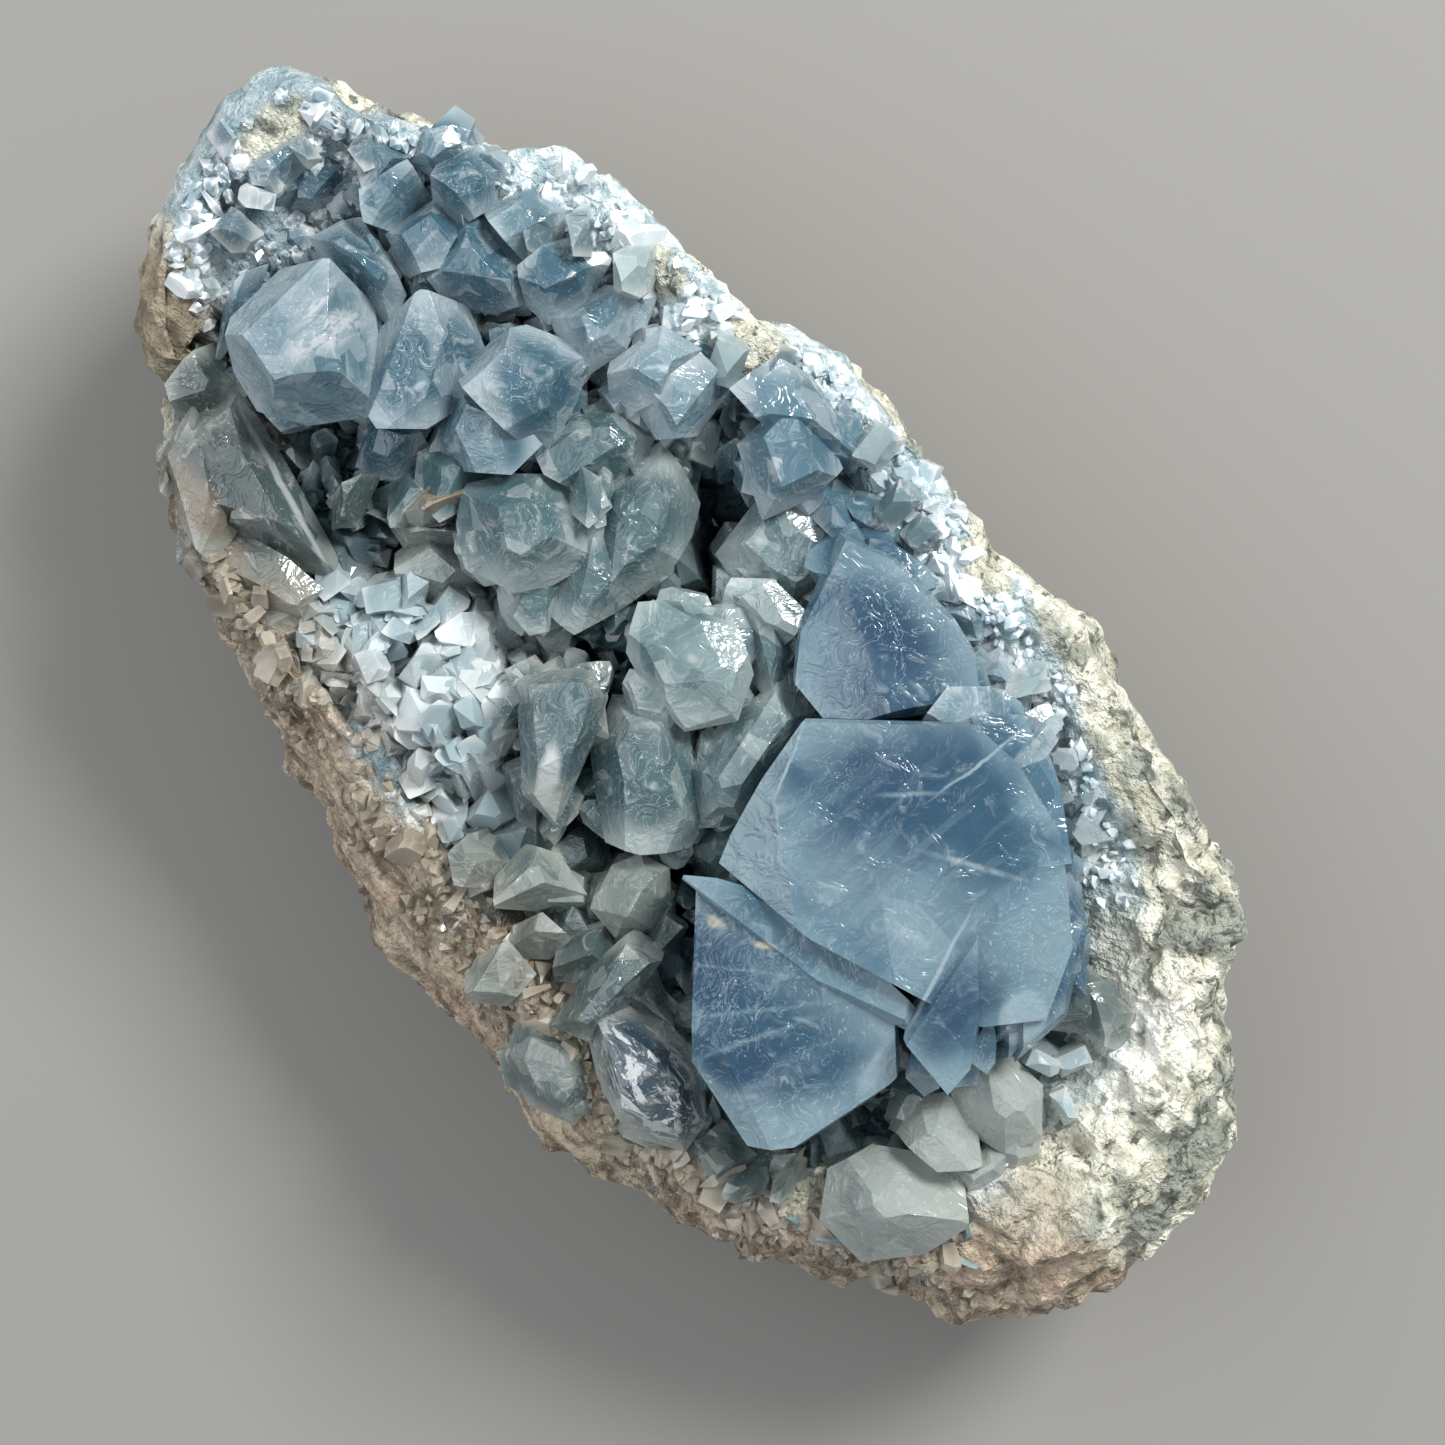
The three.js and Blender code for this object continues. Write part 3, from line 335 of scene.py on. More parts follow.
def beyond_bare_edge(seen_x, seen_y, wander):
    """1 on the outer part of the high rim, where the marl is bare, 0 on the crystals' side of it."""
    border = np.interp(seen_x, *zip(*BARE_EDGE))
    return smooth(-1.0, 1.0, seen_y - border + 0.5 * wander) * smooth(8, 14, seen_x)


def rock_skins(obj, points, normals):
    x, y, z = points.T
    seen_x, seen_y = seen_from_above(x, y, z)
    wander = 3 * lumps(x / 9, y / 9, z / 9) + 1.5 * lumps(x / 3, y / 3, z / 3)
    edge_low = np.interp(seen_x, *zip(*RIND_EDGE))
    rind = np.maximum(smooth(2, -2, seen_y - edge_low + wander), smooth(26, 20, z + wander))
    knob = smooth(-63, -66, seen_x + 0.3 * wander) * smooth(-8, -12, seen_y)
    reach_x, reach_y = (seen_x + 5) / 62, (seen_y - 1) / 29
    hollow = smooth(1.12, 0.98, np.hypot(reach_x, reach_y) + 0.03 * wander) * smooth(0.2, 0.5, normals[:, 2])
    rim = smooth(-6, 4, seen_y) * smooth(52, 42, seen_x + wander) * smooth(38, 42, z)
    left = smooth(-60, -68, seen_x + wander) * smooth(-9, -6, seen_y) * smooth(36, 41, z)
    bare = np.zeros(len(x))
    for patch_x, patch_y, wide, high in BARE_PATCHES:
        reach = np.hypot((seen_x - patch_x) / wide, (seen_y - patch_y) / high)
        bare = np.maximum(bare, smooth(1.3, 0.8, reach))
    bare = np.maximum(bare, beyond_bare_edge(seen_x, seen_y, wander))
    store(obj, "rind", rind)
    store(obj, "knob", knob)
    store(obj, "crystal_ground", np.maximum(np.maximum(hollow, rim), left) * (1 - bare))


rock_skins(rock, rock_points, rock_normals)
print("skins kept on the rock:", [a.name for a in rock.data.attributes if a.data_type == "FLOAT"])

# %% [markdown]
# A crystal is a solid cut by planes, so that is how it is made here: upright sides from its outline, which
# draw in a little below the widest place, bevels on some of them, and one to four faces on top. Where
# three planes meet inside all the others there is a corner, and the corners on one plane, put in order,
# are a face. The faces stay flat and many-sided, as real crystal faces are.

# %% A solid from its planes
UNDERCUT = 0.1
PLAIN_SIDES = 0.4
ROOT_ABOVE_ROCK = 0.7
ROOT_BELOW_RING = 3


def plane(point, normal):
    n = np.array(normal, float)
    n /= np.linalg.norm(n)
    return np.append(n, n @ np.array(point, float))


def faces_inside(planes):
    planes = np.array(planes)
    normals, reach = planes[:, :3], planes[:, 3]
    triples = np.array(list(itertools.combinations(range(len(planes)), 3)))
    matrices = normals[triples]
    sharp = np.abs(np.linalg.det(matrices)) > 1e-4
    corners = np.linalg.solve(matrices[sharp], reach[triples[sharp]][..., None])[..., 0]
    corners = corners[(corners @ normals.T <= reach + 1e-5).all(axis=1)]
    kept = []
    for corner in corners:
        if all(np.linalg.norm(corner - other) > 2e-3 for other in kept):
            kept.append(corner)
    kept = np.array(kept).reshape(-1, 3)
    faces = []
    for normal, distance in planes_once(normals, reach):
        on_it = np.flatnonzero(np.abs(kept @ normal - distance) < 2e-3)
        if len(on_it) < 3:
            continue
        side = np.cross(normal, [0, 0, 1] if abs(normal[2]) < 0.9 else [1, 0, 0])
        around = kept[on_it] - kept[on_it].mean(axis=0)
        angles = np.arctan2(around @ np.cross(normal, side), around @ side)
        faces.append([int(i) for i in on_it[np.argsort(angles)]])
    return kept, faces


def planes_once(normals, reach):
    seen = []
    for normal, distance in zip(normals, reach):
        if all(normal @ n < 0.99999 or abs(distance - d) > 1e-3 for n, d in seen):
            seen.append((normal, distance))
    return seen


cube = [plane(np.array(n) / 2, n) for n in itertools.chain(np.eye(3), -np.eye(3))]
print("a cube has", len(faces_inside(cube)[0]), "corners and", len(faces_inside(cube)[1]), "faces")

# %% [markdown]
# The tables below hold every crystal that can be told apart. ring is its outline as seen from above, z
# the height of that outline, and each face on top is (x, y, height, slope along X, slope along Y). bevel
# is the steepness between the outline and the top. Some entries say more: grow is how much wider the
# crystal is than its outline, cuts the number of chance facets on top, young the number of young ones on
# its sides, and tone its shade, which is paler the higher it is.

# %% The two great blocks and their neighbours
GREAT_BLUE = [
    dict(z=56.4, bevel=3, cuts=0, grow=1, faces=[(24, 10, 58.2, 0.01, 0.0), (12.7, 2.5, 58.0, 0.6, 0.33),
        (16, 0.4, 58.0, 0.3, 0.5), (27.6, 17.6, 58.1, -0.12, -0.1), (41, 8, 57.8, -0.35, -0.12)],
        ring=[(8, 11), (10, 3), (12.5, -4), (15, -9), (27, -4.2), (39.5, -1.4), (47, 4), (51.5, 10),
        (47, 17.5), (36, 24.5), (28, 25.8), (20, 24.6)]),
    dict(z=52, bevel=4, cuts=0, grow=1, faces=[(20, -15, 54.2, 0.1, 0.08), (36, -15, 54.6, -0.1, 0.04),
        (30, -24, 52.8, 0.02, 0.5)],
        ring=[(13, -12), (15.5, -9.2), (20, -6), (28, -4.6), (39.5, -2), (44.5, -6), (45, -11),
        (44, -19.5), (41, -24), (37, -27), (33.5, -27), (29, -23), (21, -22), (16, -16.5)]),
    dict(z=55, bevel=1, cuts=0, grow=1, young=0, tone=1.2, faces=[(28, -6.5, 55.8, 0.01, 0.1)],
        ring=[(12.6, -10.6), (15.2, -8.0), (20, -4.8), (28, -2.7), (36, -0.9), (41, -0.3), (43.4, -4),
        (38, -6), (31, -7.4), (25, -10), (19, -12), (14, -13.4)]),
    dict(z=54, bevel=4, cuts=0, grow=1, faces=[(42, 4, 58.8, -0.3, -0.05), (38.5, 6, 58.4, 1.1, 0.4)],
        ring=[(36.5, 10.8), (41, 11), (45, 6), (48.5, 3), (49.5, -3.5), (42, -3.2), (40, -0.8)]),
    dict(z=51, bevel=2, cuts=1, faces=[(46, 8, 55, -0.25, -0.12)],
        ring=[(41.5, 11), (45, 13), (49.5, 10.5), (50, 7), (48.5, 3.5), (45, 6)]),
    dict(z=50.4, bevel=3, cuts=1, grow=1.04, faces=[(6, 24, 53.4, 0.02, -0.02), (3, 19, 52.6, 0.12, 0.22)],
        ring=[(-5, 27), (0, 29.5), (5, 30.3), (10, 30.5), (16, 29), (18.5, 27), (15, 20), (9, 13),
        (4, 13), (0, 17)]),
    dict(z=53, bevel=3, cuts=0, faces=[(30, 24, 56.6, -0.06, -0.14)],
        ring=[(20.5, 24.6), (24.4, 29.6), (29, 28.6), (39, 22.4), (37.5, 20), (29, 22.6)]),
    dict(z=50, bevel=2.4, cuts=1, faces=[(47, 12, 54.0, -0.3, -0.05)],
        ring=[(43, 11), (51.7, 5), (51.5, 12), (45, 20.5), (41, 18)]),
    dict(z=49, bevel=2, cuts=1, faces=[(44, 17, 53.4, -0.2, -0.2)],
        ring=[(39, 22.5), (43, 21.5), (49, 15.5), (48.5, 12.5), (42, 16)]),
]

# %% The blue group at the narrow end
BLUE_GROUP = [
    dict(z=46, bevel=1.6, faces=[(-63, -4, 53.4, 0.3, 0.03), (-56, -5, 53.8, -0.22, 0.05)],
        ring=[(-67, -2), (-66.5, -9), (-62, -12.3), (-57.5, -13), (-53, -10), (-50, -5), (-53.5, 0),
        (-58, 3), (-63, 2)]),
    dict(z=42, bevel=2, faces=[(-66, -7, 46.5, 0.2, 0)],
        ring=[(-69, -3), (-67, -1), (-65.5, -8), (-63, -12), (-65, -13), (-68.5, -9)]),
    dict(z=45, bevel=1.8, faces=[(-62, 5, 50.8, 0, -0.25)],
        ring=[(-68, 2), (-67, 7), (-62, 8), (-57, 7), (-55, 3), (-58, 1.5), (-64, 2.5)]),
    dict(z=45, bevel=1.3, tone=-0.2, faces=[(-50, 4, 51, 0.06, 0.06)],
        ring=[(-55, 2), (-54, 8), (-51, 11), (-46.5, 9.5), (-43.5, 5), (-44, 0), (-47, -3.5),
        (-52, -3)]),
    dict(z=47, bevel=1.8, faces=[(-41, 11, 53, 0.03, 0), (-36.5, 10, 51.6, -0.6, 0.1)],
        ring=[(-45.5, 6), (-46, 11), (-45, 15), (-41, 17.2), (-37.5, 17), (-35.5, 13.5), (-34, 9.5),
        (-34.5, 7), (-41, 6.5)]),
    dict(z=45, bevel=2, faces=[(-39, 4, 50.5, 0, 0.3)],
        ring=[(-45, 5), (-41, 7), (-34.5, 7.3), (-34.2, 3.5), (-38.5, -1), (-42, -0.3)]),
    dict(z=45, bevel=1.6, faces=[(-54, 15.5, 50.6, 0, 0.15)],
        ring=[(-59.5, 17), (-57, 19.5), (-50, 19.7), (-47.5, 17), (-49, 13.5), (-53, 10.5),
        (-57.5, 11)]),
    dict(z=45, bevel=1.8, faces=[(-60, 13, 49.6, 0.2, 0.1)],
        ring=[(-63, 10), (-62.5, 16.5), (-58.5, 17), (-56.5, 12), (-58, 9)]),
    dict(z=44, bevel=1.5, faces=[(-65, 13, 48.6, -0.2, 0.1)],
        ring=[(-67.5, 11), (-66.5, 16), (-63.5, 16), (-62.5, 11), (-65, 9.5)]),
    dict(z=46, bevel=1.5, faces=[(-62, 20, 50.4, 0.1, -0.1)],
        ring=[(-65.5, 20), (-64, 24), (-60.5, 24.5), (-58, 21), (-58.5, 17), (-62.5, 16.5)]),
    dict(z=46, bevel=2, faces=[(-67, 20, 49, 0, 0.1)],
        ring=[(-69, 19), (-67, 22.5), (-64.5, 22), (-65, 18), (-67.5, 17)]),
    dict(z=46, bevel=1.7, faces=[(-47, 22, 51, 0.2, -0.1)],
        ring=[(-50, 19), (-49.5, 25), (-45, 26.5), (-43, 22), (-44, 17.5), (-47, 17)]),
    dict(z=46, bevel=1.7, faces=[(-40, 21, 50.6, -0.2, -0.1)],
        ring=[(-44, 18), (-43, 24.5), (-39, 26), (-36.5, 22), (-37, 17.5), (-41, 17)]),
    dict(z=46, bevel=1.5, faces=[(-54, 23, 50, 0.1, -0.1)],
        ring=[(-58, 20), (-57, 25.5), (-52.5, 27), (-50, 24), (-50.5, 20)]),
    dict(z=45, bevel=1.6, faces=[(-69, 15, 49, 0, 0.2)],
        ring=[(-71, 13), (-70, 17.5), (-67, 18.5), (-66.5, 14), (-68, 11.5)]),
    dict(z=40, bevel=2, faces=[(-72, 8, 43.6, 0.1, 0)],
        ring=[(-75, 6), (-74, 12), (-70.5, 12.5), (-69.5, 6), (-72, 3.5)]),
    dict(z=45, bevel=1.6, faces=[(-77, 6, 48.6, -0.1, -0.2)],
        ring=[(-79, 4), (-78, 9), (-75, 9), (-74.3, 4.5), (-76.5, 2.5)]),
    dict(z=41, bevel=1.5, faces=[(-45, -5, 45.4, 0.1, 0.1)],
        ring=[(-49, -4), (-46, -1.5), (-42, -2), (-41.5, -7), (-45.5, -9)]),
]

# %% The grey-green crystals in the middle
MIDDLE_GROUP = [
    dict(z=43, bevel=1.4, faces=[(-20, 10, 49, -0.1, -0.06)],
        ring=[(-26, 17.5), (-22, 17.8), (-18, 16.8), (-16, 14), (-14.5, 9.5), (-15, 3), (-19, 2),
        (-24, 6), (-26, 12)]),
    dict(z=46, bevel=1.1, faces=[(-29, 0, 51.4, 0.02, 0.06)],
        ring=[(-33.5, 3), (-30, 6.5), (-25, 6.5), (-21, 4.5), (-22, -1), (-24, -4.5), (-29, -6.5),
        (-33, -4.5), (-35.5, -1)]),
    dict(z=44, bevel=1.4, faces=[(-30, 12, 49.2, 0.08, 0.1)],
        ring=[(-35, 12), (-32, 17), (-27, 17.8), (-25, 14), (-26, 9), (-31, 7), (-35, 8)]),
    dict(z=47, bevel=1.5, faces=[(-27, 8, 51, 0.1, -0.2)],
        ring=[(-30, 9), (-27, 10.5), (-24, 9.5), (-24, 6.5), (-26.5, 5.8)]),
    dict(z=43, bevel=1.5, faces=[(-18, 3, 48, -0.1, -0.15)],
        ring=[(-22, 4.5), (-20, 8.5), (-16, 8), (-14.8, 3), (-16, -2), (-20, -3), (-22, 0)]),
    dict(z=42, bevel=1.6, faces=[(-21, -3, 46, -0.1, 0.2)],
        ring=[(-24, 1), (-20, 0), (-17.5, -3), (-19, -6), (-23, -6), (-25, -3)]),
    dict(z=43, bevel=1.5, faces=[(-38, -2, 47.6, 0.1, 0)],
        ring=[(-41, 1), (-36, 3), (-34, -1), (-35, -5.5), (-39, -6), (-42, -3)]),
    dict(z=48.5, bevel=1.8, tone=0.8,
        faces=[(-5, 5, 52, 0, 0.04), (-11, 5, 51, 0.6, 0), (0, 7, 51.4, -0.3, -0.1)],
        ring=[(-13, 5), (-10, 8.8), (-6, 11.3), (0, 9.3), (2.6, 5), (0, 0.2), (-5, -0.3), (-10, 0.8)]),
    dict(z=45, bevel=1.5, faces=[(-1, 13, 50, 0, 0.12)],
        ring=[(-8.5, 13), (-7, 16), (-4, 18), (0, 18), (2, 14.5), (6.5, 11), (5, 9.5), (0, 9.5),
        (-5, 11.5)]),
    dict(z=47, bevel=1.5, faces=[(-3, 15, 51, 0.1, 0.1)],
        ring=[(-6.5, 13), (-5.5, 17.5), (-1, 18), (0, 14), (-3, 12.5)]),
    dict(z=43, bevel=1.5, faces=[(-7, 21, 48, 0.05, 0.1)],
        ring=[(-13.5, 22), (-10, 27), (-5, 27.5), (-1, 22), (-2, 17), (-8, 15.2), (-12, 15.5)]),
    dict(z=44, bevel=1.8, faces=[(7, 4, 50, 0.3, 0.02)],
        ring=[(4, 12.5), (8, 11.5), (10, 5), (11.5, -2), (9, -5), (4, -2), (2.5, 4)]),
    dict(z=44, bevel=1.3, tone=0.0, faces=[(1, -6, 49.4, 0.02, -0.03), (2, -11, 48, 0, 0.4)],
        ring=[(-7, -4), (-4, -0.8), (0, 0.3), (5, -2.8), (9, -5), (10, -8), (7, -12), (4, -14.2),
        (0, -12), (-4, -9.5)]),
    dict(z=40, bevel=1.5, faces=[(-1, -12, 44, 0, 0.1)],
        ring=[(-3, -9), (-3.5, -12), (-1.5, -15.5), (1, -12.5), (0.5, -9.5)]),
    dict(z=35, bevel=1.5, faces=[(3, -17, 39, 0.1, 0)],
        ring=[(-0.5, -16), (2, -14), (6.5, -16), (6, -19.5), (2, -20), (-0.5, -18.5)]),
]

# %% The crystals along the rim
RIM_CRYSTALS = [
    dict(z=47, bevel=1.5, faces=[(-33, 23, 51.6, 0.1, -0.1)],
        ring=[(-36, 20), (-35.5, 26.5), (-31, 28), (-29, 24), (-30.5, 18.5), (-33.5, 17.8)]),
    dict(z=46, bevel=1.6, faces=[(-27, 23, 51, -0.2, -0.1)],
        ring=[(-30, 19), (-29.5, 27), (-25.5, 27.5), (-24, 22), (-26.5, 18.5)]),
    dict(z=49, bevel=1.6, faces=[(-20, 32, 53.4, 0.15, -0.2)],
        ring=[(-24.3, 28.5), (-24, 33.5), (-20.5, 35.7), (-16, 35), (-12.5, 32.5), (-16, 29)]),
    dict(z=49, bevel=2.2, tone=-0.5, faces=[(-16, 28, 54.6, 0, 0.06)],
        ring=[(-20, 31), (-16.8, 33.2), (-11, 31.7), (-10.8, 27), (-12.2, 22), (-19.8, 25)]),
    dict(z=47, bevel=1.2, faces=[(-8, 28, 50.6, 0.1, -0.3)],
        ring=[(-11, 29), (-8, 31), (-4.5, 29), (-4.5, 26.5), (-9, 26)]),
    dict(z=47, bevel=1.2, faces=[(-14, 35, 50.4, 0.1, -0.2)],
        ring=[(-19, 34.5), (-14, 37), (-9, 34.5), (-11, 32.5), (-16, 33)]),
    dict(z=46, bevel=1.5, faces=[(-3, 31, 48.6, 0.05, 0.1)],
        ring=[(-8, 30), (-5, 33), (1, 32), (3, 30.5), (-2, 29)]),
    dict(z=45, bevel=1.5, faces=[(11, 32, 48.4, 0.1, -0.2)],
        ring=[(8, 31), (9, 34), (13, 33.5), (14, 31), (11, 29.5)]),
    dict(z=46, bevel=1.5, faces=[(19, 30.5, 49.6, 0.05, 0.2)],
        ring=[(15.5, 29.5), (16, 32.5), (21, 31.5), (22, 30), (19, 28.5)]),
    dict(z=51, bevel=2, faces=[(20, 25, 56, 0.25, 0.1)],
        ring=[(17, 20.5), (16, 25), (20, 29.5), (23.5, 28), (23, 22.5), (20, 21)]),
    dict(z=51, bevel=2.2, faces=[(26, 25, 57, -0.3, 0.1)],
        ring=[(24.5, 20), (23.5, 29.5), (27, 29.5), (28.5, 24), (26.5, 18)]),
]

# %% The crystals of the low side
LEDGE_CRYSTALS = [
    dict(z=39, bevel=1.5, faces=[(-50, -19, 44.4, 0.02, 0.14), (-50, -15.5, 44.4, -0.05, -0.8)],
        ring=[(-60, -14), (-50, -15.5), (-40, -17.5), (-38.5, -19.5), (-43, -22), (-50, -24),
        (-57, -23.5), (-61.5, -19.5)]),
    dict(z=41.5, bevel=1.6, faces=[(-55, -24, 44.8, 0.05, 0.25)],
        ring=[(-62, -19), (-55, -21), (-49, -24), (-48, -28), (-53, -28), (-60, -25)]),
    dict(z=38.5, bevel=1.6, faces=[(-42, -25, 42.4, -0.1, 0.2)],
        ring=[(-48, -24), (-42, -22), (-36.5, -21), (-36, -25), (-40, -27.5), (-46, -29.5)]),
    dict(z=41, bevel=2.6, faces=[(-43, -11, 47, -0.2, 0.6)],
        ring=[(-44.5, -13.5), (-43, -8), (-40.5, -13.5), (-42, -15.5)]),
    dict(z=44, bevel=2, faces=[(-37, -5, 48.6, 0.4, 0.2)],
        ring=[(-39, -6), (-36.5, -1.5), (-34.5, -4), (-35.5, -8), (-38.5, -9)]),
    dict(z=38, bevel=1.4, faces=[(-31, -10, 42.4, 0.1, 0.1)],
        ring=[(-35, -7), (-31, -6), (-27, -8), (-27, -12), (-31, -14), (-35, -12)]),
    dict(z=40, bevel=1.4, faces=[(-63, -16, 44.4, 0, 0.2)],
        ring=[(-66, -13), (-61, -13.5), (-60, -17), (-62, -20.5), (-65, -19)]),
    dict(z=47, bevel=2.4, tone=-0.2, cuts=0, faces=[(-9, -11, 52, 0.08, 0.08), (-5, -14.5, 51, -0.55, 0.25)],
        ring=[(-11, -4), (-8, -5), (-6, -8), (-2, -16), (-1.4, -18), (-3.3, -20), (-6, -18),
        (-11, -18.5), (-15, -15), (-15, -10), (-13, -6.5)]),
    dict(z=42, bevel=1.4, faces=[(3, -24, 46.4, 0.2, 0.15)],
        ring=[(-1, -22), (2, -20), (7, -20.5), (5, -25.5), (2, -28), (-0.5, -26.5)]),
    dict(z=41, bevel=1.4, faces=[(-3, -27, 45, 0.05, 0.1)],
        ring=[(-6, -25), (-4, -24), (-0.8, -24.5), (-0.5, -28), (-3, -30), (-5.5, -28.5)]),
    dict(z=41, bevel=1.4, faces=[(7, -28, 45.2, 0.2, 0.1)],
        ring=[(5, -28.5), (6, -25.5), (9.5, -25), (10, -28), (8, -30.3), (5.5, -30)]),
    dict(z=40, bevel=1.5, faces=[(8, -34, 43.4, 0, 0.15)],
        ring=[(5, -34), (6, -30.5), (10, -30.5), (10.8, -35), (8.5, -37.2), (6, -36.5)]),
    dict(z=42, bevel=1.5, faces=[(12, -25, 46.2, 0.3, 0)],
        ring=[(10, -23), (11, -20.5), (13.5, -22), (14, -26), (12, -28.5), (10, -26.5)]),
    dict(z=43, bevel=1.5, faces=[(11, -16, 48.2, 0.05, 0.1)],
        ring=[(7, -16), (8, -13), (11, -11.7), (14, -14), (15, -17), (13, -20.5), (9, -20.5)]),
    dict(z=44, bevel=1.8, faces=[(17, -25, 49, 0.1, 0.12)],
        ring=[(14, -19), (17.5, -18), (19.5, -24), (20, -30), (16, -32), (14, -25)]),
    dict(z=39.5, bevel=1.3, faces=[(19, -36, 43.5, 0, 0.3)],
        ring=[(13, -34), (16, -32), (20, -31), (25, -33), (25.5, -37.5), (21, -39.8), (15.5, -38.5)]),
    dict(z=43, bevel=1.5, faces=[(24, -27, 48.4, 0.25, 0.1), (31, -28, 48, -0.3, 0.2)],
        ring=[(19.5, -25), (24, -22.8), (30, -22.8), (34.5, -26.5), (35.5, -30), (31, -33), (24, -32),
        (20, -30)]),
    dict(z=40, bevel=1.6, faces=[(39, -28, 44.4, -0.1, 0.1)],
        ring=[(35, -27.5), (38, -25.5), (41.5, -24.5), (42, -29), (40.8, -31.5), (37, -30)]),
    dict(z=43, bevel=1.5, faces=[(20, -22, 47, 0.1, 0.1)],
        ring=[(18, -19.5), (21, -20.5), (25, -22.5), (20, -24), (18.5, -22)]),
    dict(z=43, bevel=0.9, tone=1.3, faces=[(55, -16, 49, -0.02, 0.06)],
        ring=[(48.5, -19), (49.5, -14), (53, -11), (58, -9), (61.5, -12), (61.5, -17), (58, -22.5),
        (52, -23)]),
    dict(z=44, bevel=1.4, tone=1.3, faces=[(53, -7, 48.8, -0.1, 0.3)],
        ring=[(48.7, -6.5), (50, -4), (55, -4), (57.5, -6), (55, -9.5), (50, -10.5)]),
    dict(z=44, bevel=1.2, tone=1.3, faces=[(54, 0, 48.8, -0.1, 0.2)],
        ring=[(49, 0), (51, 4), (56, 4.5), (60, 1), (59, -3), (54, -4.5), (50, -3)]),
    dict(z=42, bevel=1.6, tone=1.3, faces=[(59, -6, 45.8, 0.1, 0.1)],
        ring=[(57, -4), (59.5, -1.5), (61, -5), (60, -9.5), (56.5, -8.5)]),
    dict(z=42, bevel=1.4, faces=[(50, 14, 46, -0.1, -0.1)],
        ring=[(46, 13), (48, 17), (53, 17.5), (55, 13), (52, 10), (48.5, 10.5)]),
    dict(z=42, bevel=1.3, faces=[(54, 16, 45.6, -0.1, 0)],
        ring=[(50, 14), (52, 18), (57, 18.5), (58.5, 14), (54, 12.5)]),
    dict(z=41, bevel=1.5, faces=[(43.5, -27, 45, 0.1, 0)],
        ring=[(41.2, -27), (43.5, -24.5), (45.5, -26), (45, -29), (42.5, -29.5)]),
    dict(z=41, bevel=2.4, faces=[(45, -23, 46, 0.1, 0.3)],
        ring=[(44.5, -20), (47.5, -24), (46, -25.5), (44.5, -24)]),
]
LARGE_CRYSTALS = GREAT_BLUE + BLUE_GROUP + MIDDLE_GROUP + RIM_CRYSTALS + LEDGE_CRYSTALS
print("crystals told apart:", len(LARGE_CRYSTALS))

# %% [markdown]
# One function turns an entry of a table into planes. A Heap gathers solids into one piece and remembers a
# tone for each, so that neighbours can differ a little in colour although they share a material. It also
# remembers each point's place in its own crystal, from -1 to 1, so that a colour can turn paler outwards.

# %% A crystal of the tables
GROUND = [np.stack(inside_point(np.arange(60) / 60, depth), axis=1) for depth in np.arange(20) / 20]
GROUND = np.concatenate(GROUND)


def ground_under(points):
    middle = points[:, :2].mean(axis=0)
    return GROUND[np.argmin(np.hypot(*(GROUND[:, :2] - middle).T)), 2]


UPPER = np.array([outside_point(np.arange(240) / 240, row) for row in np.linspace(GIRTH_ROW, CREST_ROW, 21)])
UPPER_REACH, UPPER_TURN = np.hypot(UPPER[:, 0], UPPER[:, 1]), np.arctan2(UPPER[0, 1], UPPER[0, 0])


def slope_height(x, y):
    """How high the outer slope is at a place between the girth and the crest of the rim."""
    aside = np.angle(np.exp(1j * (UPPER_TURN - math.atan2(y, x))))
    column = np.argmin(np.abs(aside))
    reach = UPPER_REACH[:, column]
    if math.hypot(x, y) > reach[0] - 1:
        return 0.0
    return float(np.interp(-math.hypot(x, y), -reach, UPPER[:, 2, column]))


def rooted(tip, direction, length):
    """Whether a crystal's root ends inside the rock, or among the others in the hollow."""
    root = np.array(tip) - np.array(direction) / np.linalg.norm(direction) * length
    return slope_height(root[0], root[1]) > root[2] - 0.5


def ring_points(entry):
    ring, z = np.array(entry["ring"], float), float(entry["z"])
    middle = ring.mean(axis=0)
    ring = middle + (ring - middle) * entry.get("grow", 1.1)
    return np.stack([*spread(ring[:, 0], ring[:, 1], z), np.full(len(ring), z)], axis=1)


def crystal_planes(entry):
    points = ring_points(entry)
    following = np.roll(points, -1, axis=0)
    area = np.sum(points[:, 0] * following[:, 1] - following[:, 0] * points[:, 1])
    slope = min(max(slope_height(x, y), GIRTH_Z) for x, y, z in points)
    root = min(ground_under(points) + ROOT_ABOVE_ROCK, entry["z"] - ROOT_BELOW_RING, slope - 2)
    planes = [plane([0, 0, root], [0, 0, -1])]
    for i, (p, q) in enumerate(zip(points, following)):
        out = math.copysign(1, area) * np.array([q[1] - p[1], p[0] - q[0], 0])
        out /= np.linalg.norm(out)
        luck = chance(i, len(points), math.floor(p[0] + 0.5))
        planes.append(plane(p, out - np.array([0, 0, UNDERCUT])))
        if luck > PLAIN_SIDES:
            planes.append(plane(p, out + np.array([0, 0, 1 / (entry["bevel"] * (0.4 + luck))])))
    tops = [plane([*spread(x, y, height), height], [-slope_x, -slope_y, 1])
            for x, y, height, slope_x, slope_y in entry["faces"]]
    middle = points[:, :2].mean(axis=0)
    for n in range(entry.get("cuts", 3)):
        luck = [chance(n, k, math.floor(points[0, 0] * 3)) for k in range(3)]
        turn = (n + luck[0]) * 2.1
        out = np.array([math.cos(turn), math.sin(turn)])
        reach = ((points[:, :2] - middle) @ out).max()
        x, y = middle + out * reach * mix(0.2, 0.6, luck[1])
        top = min((t[3] - t[0] * x - t[1] * y) / t[2] for t in tops)
        tops.append(plane([x, y, top], [*(out * mix(0.15, 0.6, luck[2])), 1]))
    return planes + tops


def own_places(verts):
    low, high = verts.min(axis=0), verts.max(axis=0)
    return (verts - (low + high) / 2) / (high - low) * 2


